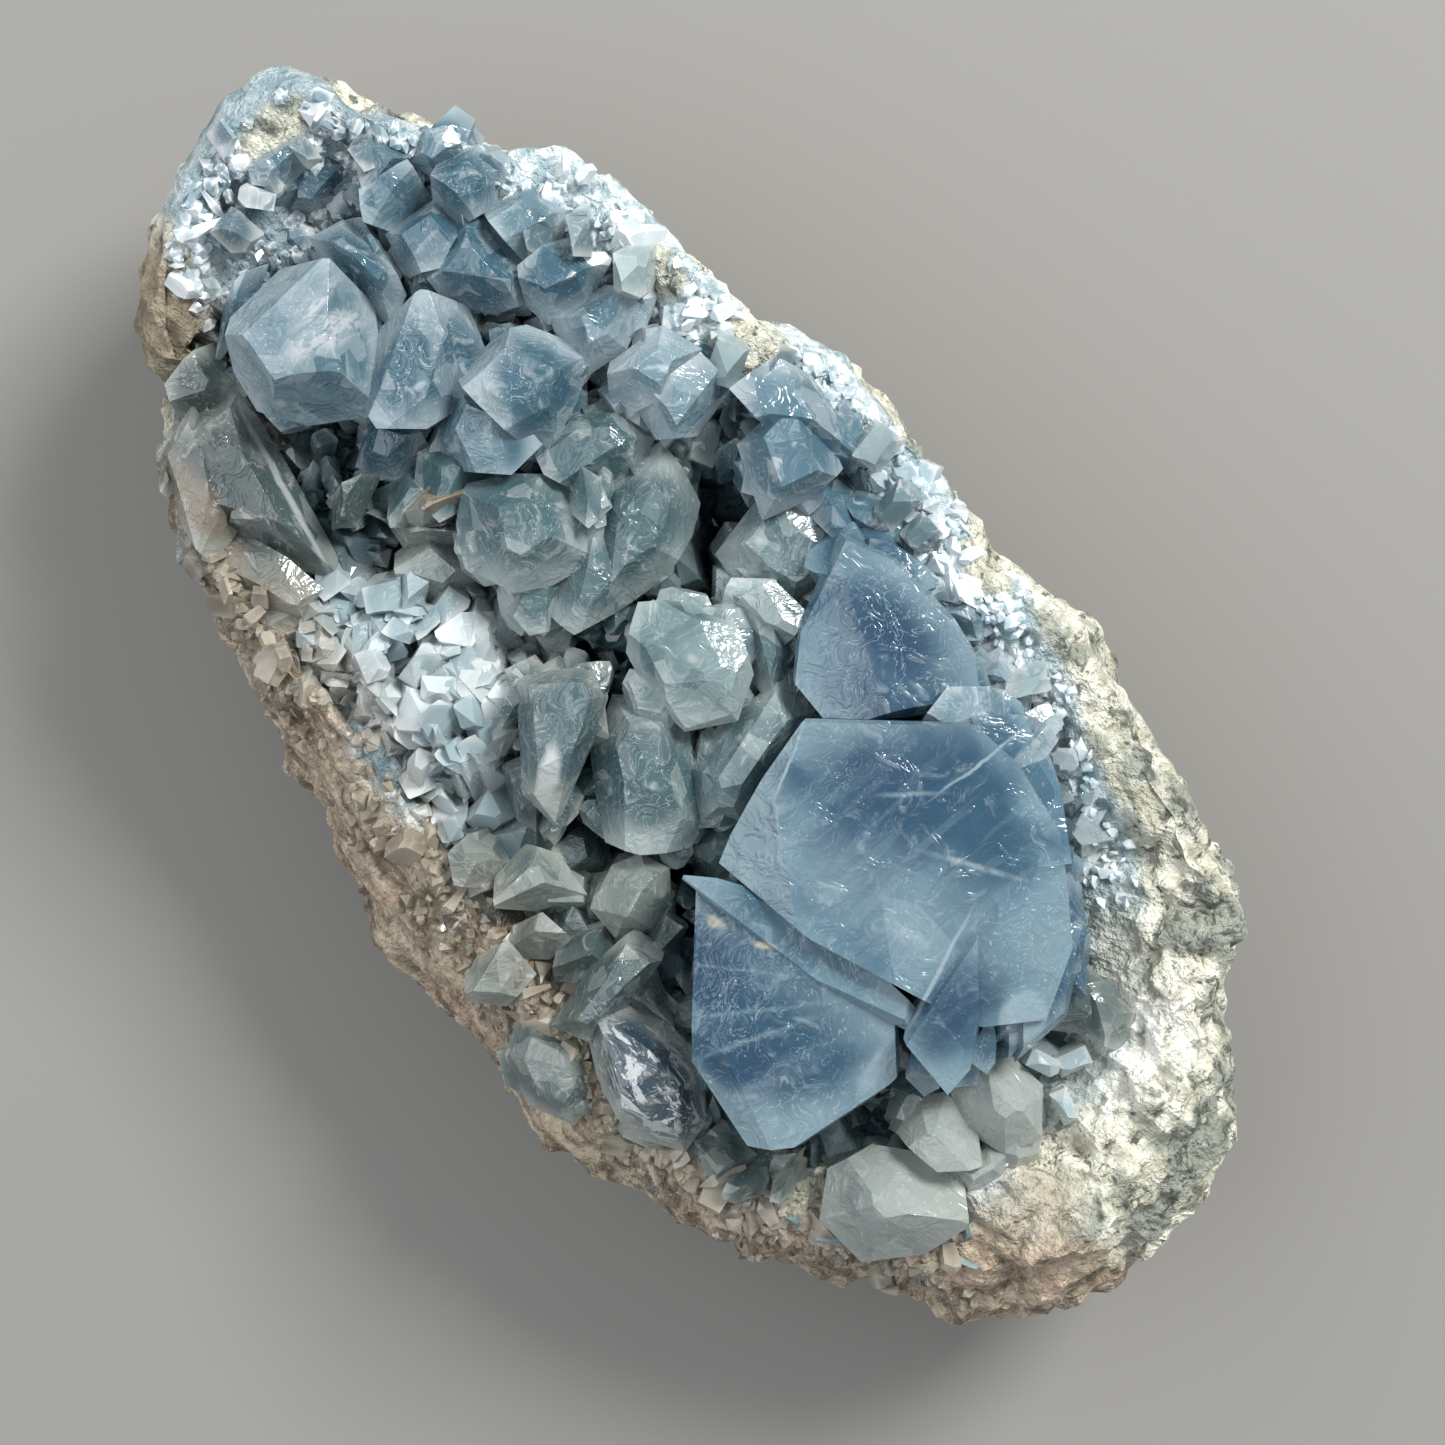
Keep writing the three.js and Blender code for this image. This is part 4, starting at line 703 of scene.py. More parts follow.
def store_places(obj, places):
    layer = obj.data.attributes.new("own_place", "FLOAT_VECTOR", "POINT")
    layer.data.foreach_set("vector", np.asarray(places, np.float32).ravel())


class Heap:
    """Solids that are gathered into one piece, each with a tone of its own."""

    def __init__(self):
        self.verts, self.faces, self.tones, self.places = [], [], [], []

    def add(self, verts, faces, tone):
        start = len(self.verts)
        self.verts += [tuple(v) for v in verts]
        self.faces += [[start + i for i in face] for face in faces]
        self.tones += [tone] * len(verts)
        if len(verts):
            self.places.append(own_places(verts))

    def piece(self, name):
        points = np.clip(np.array(self.verts), BOX_LOW, BOX_HIGH)
        made = new_object(name, points * MM, self.faces)
        store(made, "tone", self.tones)
        store_places(made, np.concatenate(self.places))
        return made


def stood(verts, tip, direction, width, spin):
    turn = Vector((0, 0, 1)).rotation_difference(Vector(direction)) @ Quaternion((0, 0, 1), spin)
    return np.array(verts) @ np.array(turn.to_matrix()).T * width + np.array(tip)


print("the rings hold", sum(len(e["ring"]) for e in GREAT_BLUE + BLUE_GROUP), "places in the two blue groups")

# %% [markdown]
# No crystal stands alone. Young ones have grown out of the sides of each large one, in the large one's own
# shape but a fraction of its size, and lean outwards. They close the gaps, so that the whole mass is
# crystal. Inside the great blue ones hang thin white veils, which are healed cracks. A veil is cut from
# the crystal's own planes and two more that almost touch.

# %% Young crystals and white veils
YOUNG_SMALLEST, YOUNG_LARGEST, LARGE_PARENT = 4.0, 8.5, 20
VEIL_THICK, VEIL_INSIDE = 0.05, 0.25


def young_ones(heap, entry, verts, faces, tone, seed, count):
    points = ring_points(entry)
    middle = verts.mean(axis=0)
    width = np.ptp(verts, axis=0)[:2].mean()
    top = verts[:, 2].max()
    for n in range(count):
        luck = [chance(seed, n, k) for k in range(8)]
        i = int(luck[0] * len(points))
        place = mix(points[i], points[(i + 1) % len(points)], luck[1])
        out = (place - middle) * [1, 1, 0]
        out /= np.linalg.norm(out)
        size = mix(YOUNG_SMALLEST, YOUNG_LARGEST, luck[2]) / width * (1.2 if width > LARGE_PARENT else 1)
        direction = out * mix(0.15, 0.9, luck[3]) + [0.3 * (luck[4] - 0.5), 0.3 * (luck[5] - 0.5), 1]
        tip = place - out * mix(-0.6, 1.6, luck[6]) + [0, 0, mix(-4.0, 1.6, luck[7])]
        tip[2] = min(tip[2], top - 2.4)
        shape = verts - [middle[0], middle[1], top]
        if not rooted(tip, direction, np.ptp(verts[:, 2]) * size * 0.9):
            continue
        spin = (luck[4] - 0.5) * 1.6
        heap.add(stood(shape, tip, direction, size, spin), faces, tone + (luck[5] - 0.5) * 0.5)


def veil(planes, middle, size, seed):
    tilt, turn = mix(0.1, 1.35, chance(seed, 1, 9)), 2 * math.pi * chance(seed, 2, 9)
    facing = np.array([math.sin(tilt) * math.cos(turn), math.sin(tilt) * math.sin(turn), math.cos(tilt)])
    start = middle + np.array([chance(seed, k, 4) - 0.5 for k in range(3)]) * size * 0.5
    inside = [np.append(p[:3], p[3] - VEIL_INSIDE) for p in planes]
    return inside + [plane(start, facing), plane(start - facing * VEIL_THICK, -facing)]


def grown(entries, seed, young, veils):
    crystals, cracks = Heap(), Heap()
    for number, entry in enumerate(entries):
        tone = entry.get("tone", chance(number, seed, 5))
        planes = crystal_planes(entry)
        verts, faces = faces_inside(planes)
        crystals.add(verts, faces, tone)
        size = np.ptp(verts, axis=0)
        count = entry.get("young", young + int(size.max() / 4))
        young_ones(crystals, entry, verts, faces, tone, number + 50 * seed, count)
        if veils and size[:2].min() > 5:
            for n in range(veils + int(size[0] / 12)):
                cut = veil(planes, verts.mean(axis=0), size, 10 * number + n + seed)
                cracks.add(*faces_inside(cut), tone)
    return crystals, cracks


pieces = {}
for name, entries, seed, young, veils in [
    ("great_blue", GREAT_BLUE, 1, 5, 2),
    ("blue_group", BLUE_GROUP, 2, 5, 0),
    ("middle", MIDDLE_GROUP, 3, 6, 0),
    ("rim", RIM_CRYSTALS, 4, 6, 0),
    ("low_side", LEDGE_CRYSTALS, 5, 4, 0),
]:
    crystals, cracks = grown(entries, seed, young, veils)
    pieces[name + "_crystals"] = crystals.piece(name + "_crystals")
    if veils:
        pieces[name + "_veils"] = cracks.piece(name + "_veils")
    print(name, len(crystals.faces), "faces of crystals and", len(cracks.faces), "of veils")

# %% [markdown]
# Between the large crystals stand smaller ones, three to seven millimetres wide: stubby tablets with a
# roof of a few faces and cut corners. Some are set by a list, and a loop sets the others over the hollow
# and the rim, by the golden ratio, so that they are even without making rows.

# %% Small crystals
SMALL_CRYSTALS = [
    (-16, -10.5, 46, 5), (-21, -10.5, 44, 5), (63, -12, 43.5, 5), (66, -14.5, 42, 5),
    (62.5, -17.5, 42, 5), (54, -24.5, 42, 4.5), (50, -26, 42, 4.5), (57, 9, 45, 4.5),
    (60, 5, 44.5, 4.5), (55, 7, 46, 4.5), (33, 28, 48, 3.5), (30, 31, 48, 3.5),
    (1, -31, 41, 4.5), (12, -31, 42, 4.5),
]
HOLLOW_DRUSE = dict(count=60, first=0.24, last=0.8, width=6.6)
RIM_DRUSE = dict(count=40, first=0.04, last=0.2, width=5.2)
GOLDEN_STEP = 0.61803398875
GOLDEN_TURN = 2.399963
ROOT_CLEAR = 0.8


@functools.cache
def small_crystal(seed):
    """A crystal one unit wide with its tip at the origin and its root far below."""
    thick = mix(0.4, 0.95, chance(seed, 1, 2))
    roof = mix(0.35, 0.95, chance(seed, 5, 6))
    ridge = mix(0.03, 0.3, chance(seed, 7, 8))
    half = thick / 2
    planes = [plane([0, 0, -1.4], [0, 0, -1])]
    for side in (-1, 1):
        planes.append(plane([0, side * half, 0], [0, side, -0.12]))
        planes.append(plane([side / 2, 0, 0], [side, 0, -0.12]))
        planes.append(plane([0, 0, 0], [0, side * roof / half, 1]))
        planes.append(plane([side * ridge, 0, 0], [side * roof / (0.5 - ridge), 0, 1]))
        for other in (-1, 1):
            cut = 0.26 + 0.2 * chance(seed, side + 3, other + 5)
            planes.append(plane([side * cut, other * half * cut * 2, 0], [side, other, 0.25]))
    for n in range(3):
        turn = (n + chance(seed, n, 11)) * 2.1
        out = np.array([math.cos(turn), math.sin(turn)]) * mix(0.5, 1.3, chance(seed, n, 12))
        planes.append(plane([*(out * mix(0.02, 0.2, chance(seed, n, 13))), -0.02], [*out, 1]))
    return faces_inside(planes)


def under_a_large_one(tip):
    for entry in LARGE_CRYSTALS:
        ring = np.array(entry["ring"], float)
        points = np.stack(spread(ring[:, 0], ring[:, 1], entry["z"]), axis=1)
        following = np.roll(points, -1, axis=0)
        across = (points[:, 1] > tip[1]) != (following[:, 1] > tip[1])
        rise = np.where(across, following[:, 1] - points[:, 1], 1)
        at = points[:, 0] + (following[:, 0] - points[:, 0]) * (tip[1] - points[:, 1]) / rise
        if tip[2] < entry["z"] + 1 and np.sum(across & (tip[0] < at)) % 2:
            return True
    return False


small = Heap()
for number, (x, y, z, width) in enumerate(SMALL_CRYSTALS):
    lean = [chance(number, 2, 3) - 0.5, chance(number, 4, 5) - 0.5, 1]
    verts, faces = small_crystal(number + 40)
    tip = [*spread(x, y, z), z]
    spin = chance(number, 9, 1) * math.pi
    if rooted(tip, lean, width * 1.2):
        small.add(stood(verts, tip, lean, width, spin), faces, chance(number, 6, 6))


def add_by_loop(heap, rule, seed, allowed):
    for i in range(rule["count"]):
        share = np.array(i * GOLDEN_STEP % 1)
        depth = mix(rule["first"], rule["last"], chance(i, seed, 1))
        if not allowed(section(share)):
            continue
        here = np.array(inside_point(share, depth))
        aside = np.array(inside_point(share + 0.01, depth)) - here
        down = np.array(inside_point(share, depth + 0.02)) - here
        out = np.cross(down, aside)
        out *= np.sign(out[2]) / np.linalg.norm(out)
        size = rule["width"] * mix(0.7, 1.15, chance(i, seed, 2))
        lean = np.array([chance(i, seed, 3) - 0.5, chance(i, seed, 4) - 0.5, 0.6])
        direction = out + 0.8 * lean
        direction /= np.linalg.norm(direction)
        tip = here + direction * (size * mix(0.9, 1.2, chance(i, seed, 5)) + ROOT_CLEAR)
        if not under_a_large_one(tip):
            verts, faces = small_crystal(i + seed * 100)
            heap.add(stood(verts, tip, direction, size, i * 2.4), faces, chance(i, seed, 8))


add_by_loop(small, HOLLOW_DRUSE, 1, lambda s: s["edge"][0] < 26 or s["edge"][1] < 0)
add_by_loop(small, RIM_DRUSE, 2, lambda s: s["low"] < 0.3 and s["edge"][0] < 24)
pieces["small_crystals"] = small.piece("small_crystals")
print("small crystals:", len(pieces["small_crystals"].data.polygons), "faces")

# %% [markdown]
# On the low side, left of the middle, lies a heap of icy crystals, white and full of glints. They crowd
# so close that only their tips show, highest in the middle of the heap and lower towards the rim.

# %% The icy heap of the low side
ICY_HEAPS = [
    dict(x=-22, y=-19.5, wide=13, high=8, turn=-8, top=49, count=124),
    dict(x=-31, y=-24, wide=8, high=5.5, turn=-20, top=44.5, count=52),
    dict(x=-9, y=-26, wide=6, high=4, turn=0, top=44.5, count=20),
]
ICY_LOW = 40.5
ICY_SMALLEST, ICY_LARGEST, ICY_SHAPES = 2.6, 6.4, 30


def icy_crystals():
    heap = Heap()
    for number, part in enumerate(ICY_HEAPS):
        c, s = math.cos(math.radians(part["turn"])), math.sin(math.radians(part["turn"]))
        for n in range(part["count"]):
            luck = [chance(n, number, k + 31) for k in range(6)]
            out, around = math.sqrt((n + 0.5) / part["count"]), n * GOLDEN_TURN
            along, across = part["wide"] * out * math.cos(around), part["high"] * out * math.sin(around)
            x, y = part["x"] + along * c - across * s, part["y"] + along * s + across * c
            z = mix(part["top"], ICY_LOW, out * out) - 2.8 * luck[0]
            tip = [*spread(x, y, z), z]
            lean = [1.3 * (luck[1] - 0.5), 1.3 * (luck[2] - 0.5) - 0.3 * out, 0.9]
            width = mix(ICY_SMALLEST, ICY_LARGEST, luck[3] ** 1.5)
            verts, faces = small_crystal(n % ICY_SHAPES + 700)
            if rooted(tip, lean, width * 1.6):
                heap.add(stood(verts * [1, 1, 1.3], tip, lean, width, luck[4] * math.pi), faces, luck[5])
    return heap


pieces["icy_crystals"] = icy_crystals().piece("icy_crystals")
print("icy crystals:", len(pieces["icy_crystals"].data.polygons), "faces")

# %% [markdown]
# The large crystals stand in a thicket of others that nobody would count. An even scatter of places fills
# the hollow, each gets a crystal with its tip a little below its large neighbours, and only the few deep
# gaps of the real stone are left open.

# %% The thicket between the large crystals
DEEP_GAPS = [
    (-18, 17, 9, 3.5, 30), (-11.5, 11, 3.5, 6, 10), (-11, -4, 4, 2.2, 0), (3.5, -16, 4, 4, 0),
    (12, -8, 3, 4.5, -20), (47.5, -15, 2.5, 7, 0), (-69, 4.5, 3.5, 5, 0), (-47.5, -7, 2.5, 3, 0),
]
THICKET_PLACES, THICKET_SHAPES = 2000, 40
THICKET_SMALLEST, THICKET_LARGEST = 2.6, 7.4
NEIGHBOUR_REACH, FEWEST_NEIGHBOURS = 7, 0.02
EVEN_STEP_X, EVEN_STEP_Y = 0.7548776662, 0.5698402910


def in_a_gap(x, y):
    for gap_x, gap_y, wide, high, turn in DEEP_GAPS:
        c, s = math.cos(math.radians(turn)), math.sin(math.radians(turn))
        along, across = (x - gap_x) * c + (y - gap_y) * s, (y - gap_y) * c - (x - gap_x) * s
        if math.hypot(along / wide, across / high) < 1:
            return True
    return False


middles = np.array([[*np.mean(entry["ring"], axis=0), entry["z"]] for entry in LARGE_CRYSTALS])
middles = np.vstack([middles, [(x, y, z - 2) for x, y, z, width in SMALL_CRYSTALS]])
lips = np.stack(section(np.arange(120) / 120)["lip"], axis=1)
thicket = Heap()
for n in range(THICKET_PLACES):
    x, y = mix(-80, 64, n * EVEN_STEP_X % 1), mix(-38, 36, n * EVEN_STEP_Y % 1)
    nearest = lips[np.argmin(np.hypot(*(lips - [x, y]).T))]
    beyond = 4.0 if y < -14 and x < 45 else -1.0
    outside = math.hypot(x, y * 1.6) > math.hypot(nearest[0], nearest[1] * 1.6) + beyond
    near = np.exp(-((np.hypot(middles[:, 0] - x, middles[:, 1] - y) / NEIGHBOUR_REACH) ** 2))
    if outside or (x > 38 and y > 6) or in_a_gap(x, y) or near.sum() < FEWEST_NEIGHBOURS:
        continue
    luck = [chance(n, 17, k) for k in range(5)]
    level = (near @ middles[:, 2]) / near.sum() + mix(-4.4, 0.4, luck[0])
    lean = np.array([luck[1] - 0.5, luck[2] - 0.5, 0.8])
    verts, faces = small_crystal(n % THICKET_SHAPES + 900)
    width = mix(THICKET_SMALLEST, THICKET_LARGEST, luck[3] ** 1.8)
    tip = [*spread(x, y, level), level]
    if rooted(tip, lean, width * 1.8):
        thicket.add(stood(verts * [1, 1, 1.4], tip, lean, width, luck[4] * math.pi), faces, luck[4])
pieces["thicket_crystals"] = thicket.piece("thicket_crystals")
print("the thicket:", len(pieces["thicket_crystals"].data.polygons), "faces")

# %% [markdown]
# The finest crystals cover what is left of the hollow and the rim. They repeat by the hundred, so
# Geometry Nodes scatter them: points on a patch of ground, one of a few crystals on each, standing along
# the ground's normal with a random lean, turn and size. Where the cover attribute is low, the points are
# fewer and the crystals smaller.

# %% The node tree that scatters them
SMALL_ONES_PREFERRED = 2.6
DENSEST = 3e6


def scatter_tree(name, templates, material):
    tree = bpy.data.node_groups.new(name, "GeometryNodeTree")
    face = tree.interface
    face.new_socket("Geometry", in_out="INPUT", socket_type="NodeSocketGeometry")
    for label, kind, value in [
        ("Spacing", "NodeSocketFloat", 1.6), ("Smallest", "NodeSocketFloat", 1.0),
        ("Largest", "NodeSocketFloat", 2.2), ("Lean", "NodeSocketFloat", 0.6), ("Seed", "NodeSocketInt", 1),
    ]:
        face.new_socket(label, in_out="INPUT", socket_type=kind).default_value = value
    face.new_socket("Geometry", in_out="OUTPUT", socket_type="NodeSocketGeometry")
    link = tree.links.new

    def add(kind, settings=None, **inputs):
        made = tree.nodes.new(kind)
        for label, value in (settings or {}).items():
            setattr(made, label, value)
        for label, value in inputs.items():
            feed(next(s for s in made.inputs if s.name == label.replace("_", " ") and s.enabled), value)
        return made

    def feed(socket, value):
        if isinstance(value, bpy.types.NodeSocket):
            link(value, socket)
        else:
            socket.default_value = value

    def number(operation, first, second):
        made = add("ShaderNodeMath", {"operation": operation})
        feed(made.inputs[0], first)
        feed(made.inputs[1], second)
        return made.outputs[0]

    start, end = add("NodeGroupInput"), add("NodeGroupOutput")
    given = start.outputs

    def random(kind, low, high, shift):
        seed = number("ADD", given["Seed"], shift)
        made = add("FunctionNodeRandomValue", {"data_type": kind}, Min=low, Max=high, Seed=seed)
        return next(s for s in made.outputs if s.enabled)

    cover = add("GeometryNodeInputNamedAttribute", {"data_type": "FLOAT"}, Name="cover").outputs["Attribute"]
    points = add("GeometryNodeDistributePointsOnFaces", {"distribute_method": "POISSON"},
                 Mesh=given["Geometry"], Distance_Min=given["Spacing"], Density_Max=DENSEST,
                 Density_Factor=cover, Seed=given["Seed"])
    joined = add("GeometryNodeJoinGeometry")
    for template in reversed(templates):
        shape = add("GeometryNodeObjectInfo", Object=template)
        alone = add("GeometryNodeGeometryToInstance")
        link(shape.outputs["Geometry"], alone.inputs[0])
        link(alone.outputs[0], joined.inputs[0])
    size = number("POWER", random("FLOAT", 0.0, 1.0, 2), SMALL_ONES_PREFERRED)
    size = add("ShaderNodeMapRange", Value=number("MULTIPLY", size, cover), To_Min=given["Smallest"],
               To_Max=given["Largest"])
    placed = add("GeometryNodeInstanceOnPoints", Points=points.outputs["Points"], Instance=joined.outputs[0],
                 Pick_Instance=True, Instance_Index=random("INT", 0, len(templates) - 1, 1),
                 Rotation=points.outputs["Rotation"], Scale=size.outputs["Result"])
    limits = add("ShaderNodeCombineXYZ", X=given["Lean"], Y=given["Lean"], Z=1.0)
    angles = add("ShaderNodeVectorMath", {"operation": "MULTIPLY"})
    link(random("FLOAT_VECTOR", (-1.0, -1.0, -3.1), (1.0, 1.0, 3.1), 3), angles.inputs[0])
    link(limits.outputs[0], angles.inputs[1])
    turn = add("FunctionNodeEulerToRotation")
    link(angles.outputs[0], turn.inputs[0])
    turned = add("GeometryNodeRotateInstances", Instances=placed.outputs[0], Rotation=turn.outputs[0])
    toned = add("GeometryNodeStoreNamedAttribute", {"data_type": "FLOAT", "domain": "INSTANCE"}, Name="tone",
                Geometry=turned.outputs[0], Value=random("FLOAT", 0.0, 1.0, 4))
    real = add("GeometryNodeRealizeInstances", Geometry=toned.outputs[0])
    coat = add("GeometryNodeSetMaterial", Geometry=real.outputs[0], Material=material)
    link(coat.outputs[0], end.inputs["Geometry"])
    return tree


def scattered(name, ground, templates, material, **inputs):
    tree = scatter_tree(name + "_rule", templates, material)
    modifier = ground.modifiers.new("scatter", "NODES")
    modifier.node_group = tree
    for item in tree.interface.items_tree:
        if item.in_out == "INPUT" and item.name in inputs:
            modifier[item.identifier] = inputs[item.name]
    depsgraph = bpy.context.evaluated_depsgraph_get()
    mesh = bpy.data.meshes.new_from_object(ground.evaluated_get(depsgraph), depsgraph=depsgraph)
    mesh.name = name
    places = np.empty(len(mesh.vertices) * 3)
    mesh.vertices.foreach_get("co", places)
    places = np.clip(places.reshape(-1, 3), low_corner, high_corner)
    mesh.vertices.foreach_set("co", places.ravel())
    made = bpy.data.objects.new(name, mesh)
    bpy.context.scene.collection.objects.link(made)
    bpy.data.objects.remove(ground)
    return made


print("the scatter rule is ready")

# %% [markdown]
# The materials are worked out as sums. A Flow is a value that runs through a material's nodes: adding,
# taking away, multiplying or dividing Flows adds the Math nodes, so a mask can be written as a line of
# Python. A Recipe is one material, and its methods are the few patterns that the stone needs.

# %% Sums that become nodes
def srgb(red, green, blue):
    """A colour as read off a screen, 0 to 255, turned into the linear one that a shader takes."""
    linear = [((v / 255 + 0.055) / 1.055) ** 2.4 if v > 10 else v / 255 / 12.92 for v in (red, green, blue)]
    return (*linear, 1.0)


class Flow:
    def __init__(self, recipe, socket):
        self.recipe, self.socket = recipe, socket

    def sum(self, operation, *values):
        return self.recipe.node("ShaderNodeMath", {"operation": operation}, dict(enumerate(values)))

    def __add__(self, other):
        return self.sum("ADD", self, other)

    def __sub__(self, other):
        return self.sum("SUBTRACT", self, other)

    def __rsub__(self, other):
        return self.sum("SUBTRACT", other, self)

    def __mul__(self, other):
        return self.sum("MULTIPLY", self, other)

    def __truediv__(self, other):
        return self.sum("DIVIDE", self, other)

    def __rtruediv__(self, other):
        return self.sum("DIVIDE", other, self)

    __radd__ = __add__
    __rmul__ = __mul__

    def most(self, other):
        return self.sum("MAXIMUM", self, other)


class Recipe:
    """One material: its nodes, and the few kinds of pattern that the stone needs."""

    def __init__(self, name):
        self.material = bpy.data.materials.new(name)
        self.material.use_nodes = True
        self.tree = self.material.node_tree
        self.tree.nodes.clear()
        self.unrest = None
        self.place = self.node("ShaderNodeTexCoord", output="Object")
        parts = self.node("ShaderNodeSeparateXYZ", inputs={0: self.place}).socket.node
        x, y, z = [Flow(self, parts.outputs[n]) for n in range(3)]
        self.height = z / MM
        larger = (EYE_ABOVE_FACE + FACE_Z - self.height) / EYE_ABOVE_FACE
        seen_x = EYE_X + (x / MM + (CENTRE_X - EYE_X)) / larger
        seen_y = EYE_Y + (y / MM + (CENTRE_Y - EYE_Y)) / larger
        self.seen = self.node("ShaderNodeCombineXYZ", inputs={0: seen_x, 1: seen_y})

    def node(self, kind, settings=None, inputs=None, output=0):
        made = self.tree.nodes.new(kind)
        for name, value in (settings or {}).items():
            setattr(made, name, value)
        for name, value in (inputs or {}).items():
            if isinstance(value, Flow):
                self.tree.links.new(value.socket, made.inputs[name])
            else:
                made.inputs[name].default_value = value
        return Flow(self, made.outputs[output])

    def scaled(self, size, stretch, turn):
        """The place in units of size millimetres, longer along the axes that stretch names."""
        scale = tuple(1 / (size * MM * s) for s in stretch)
        return self.node("ShaderNodeMapping", {}, {"Vector": self.place, "Scale": scale, "Rotation": turn})

    def noise(self, size, detail=2.0, rough=0.5, bend=0.0, stretch=(1, 1, 1), turn=(0, 0, 0)):
        at = self.scaled(size, stretch, turn)
        inputs = {"Vector": at, "Scale": 1.0, "Detail": detail, "Roughness": rough, "Distortion": bend}
        return self.node("ShaderNodeTexNoise", {}, inputs)

    def smooth(self, value, start, end, low=0.0, high=1.0):
        inputs = {"Value": value, "From Min": start, "From Max": end, "To Min": low, "To Max": high}
        return self.node("ShaderNodeMapRange", {"interpolation_type": "SMOOTHSTEP"}, inputs)

    def blend(self, first, second, share):
        return self.node("ShaderNodeMix", {"data_type": "RGBA"}, {0: share, 6: first, 7: second}, 2)

    def flats(self, size, stretch, turn):
        """A number from 0 to 1 that is the same within each of many flat-sided cells."""
        at = self.scaled(size, stretch, turn)
        cells = self.node("ShaderNodeTexVoronoi", {}, {"Vector": at, "Scale": 1.0}, "Color")
        return self.node("ShaderNodeSeparateColor", {}, {0: cells})

    def kept(self, name):
        settings = {"attribute_type": "GEOMETRY", "attribute_name": name}
        return self.node("ShaderNodeAttribute", settings, output="Fac")

    def own_place(self):
        settings = {"attribute_type": "GEOMETRY", "attribute_name": "own_place"}
        place = self.node("ShaderNodeAttribute", settings, output="Vector")
        return self.node("ShaderNodeVectorMath", {"operation": "MULTIPLY"}, {0: place, 1: (1, 1, 0)})

    def spot(self, x, y, wide, high, turn=0.0, soft=0.3, wander=0.0):
        """A round or long patch, its middle and half sizes in millimetres as seen from above."""
        at = self.seen
        if wander:
            if self.unrest is None:
                self.unrest = self.noise(3.0, 3.0) - 0.5
            amount = {0: (1, 0.6, 0), 3: self.unrest * wander}
            shift = self.node("ShaderNodeVectorMath", {"operation": "SCALE"}, amount)
            at = self.node("ShaderNodeVectorMath", {"operation": "ADD"}, {0: at, 1: shift})
        inputs = {"Location": (x, y, 0), "Rotation": (0, 0, math.radians(turn)), "Scale": (wide, high, 1)}
        at = self.node("ShaderNodeMapping", {"vector_type": "TEXTURE"}, {"Vector": at, **inputs})
        reach = self.node("ShaderNodeVectorMath", {"operation": "LENGTH"}, {0: at}, "Value")
        return self.smooth(reach, 1 + soft, 1 - soft)

    def line(self, x0, y0, x1, y1, width, soft=0.5, wander=0.6):
        length = math.hypot(x1 - x0, y1 - y0) / 2
        turn = math.degrees(math.atan2(y1 - y0, x1 - x0))
        return self.spot((x0 + x1) / 2, (y0 + y1) / 2, length, width / 2, turn, soft, wander)

    def strongest(self, kind, rows):
        """Several spots or lines as one. A row's eighth number, if there is one, is its strength."""
        found = [kind(*row[:7]) * row[7] if row[7:] else kind(*row) for row in rows]
        return functools.reduce(Flow.most, found)

    def tinted(self, colour, rows):
        """Patches of colour laid over each other: a spot's numbers, its tint, and how much of it."""
        for *numbers, tint, share in rows:
            colour = self.blend(colour, srgb(*tint), self.spot(*numbers) * share)
        return colour

    def bumpy(self, height, depth):
        return self.node("ShaderNodeBump", {}, {"Height": height, "Distance": depth * MM, "Strength": 1.0})

    def finish(self, colour, roughness, normal=None, density=0.0, dye=None, **constants):
        values = {"Base Color": colour, "Roughness": roughness}
        if normal is not None:
            values["Normal"] = normal
        values.update({name.replace("_", " "): value for name, value in constants.items()})
        surface = self.node("ShaderNodeBsdfPrincipled", {}, values)
        out = {"Surface": surface}
        if density:
            out["Volume"] = self.node("ShaderNodeVolumeAbsorption", {}, {"Color": dye, "Density": density})
        end = self.tree.nodes.new("ShaderNodeOutputMaterial")
        for name, value in out.items():
            self.tree.links.new(value.socket, end.inputs[name])
        return self.material


print("mid grey in linear light is", round(srgb(128, 128, 128)[0], 3))
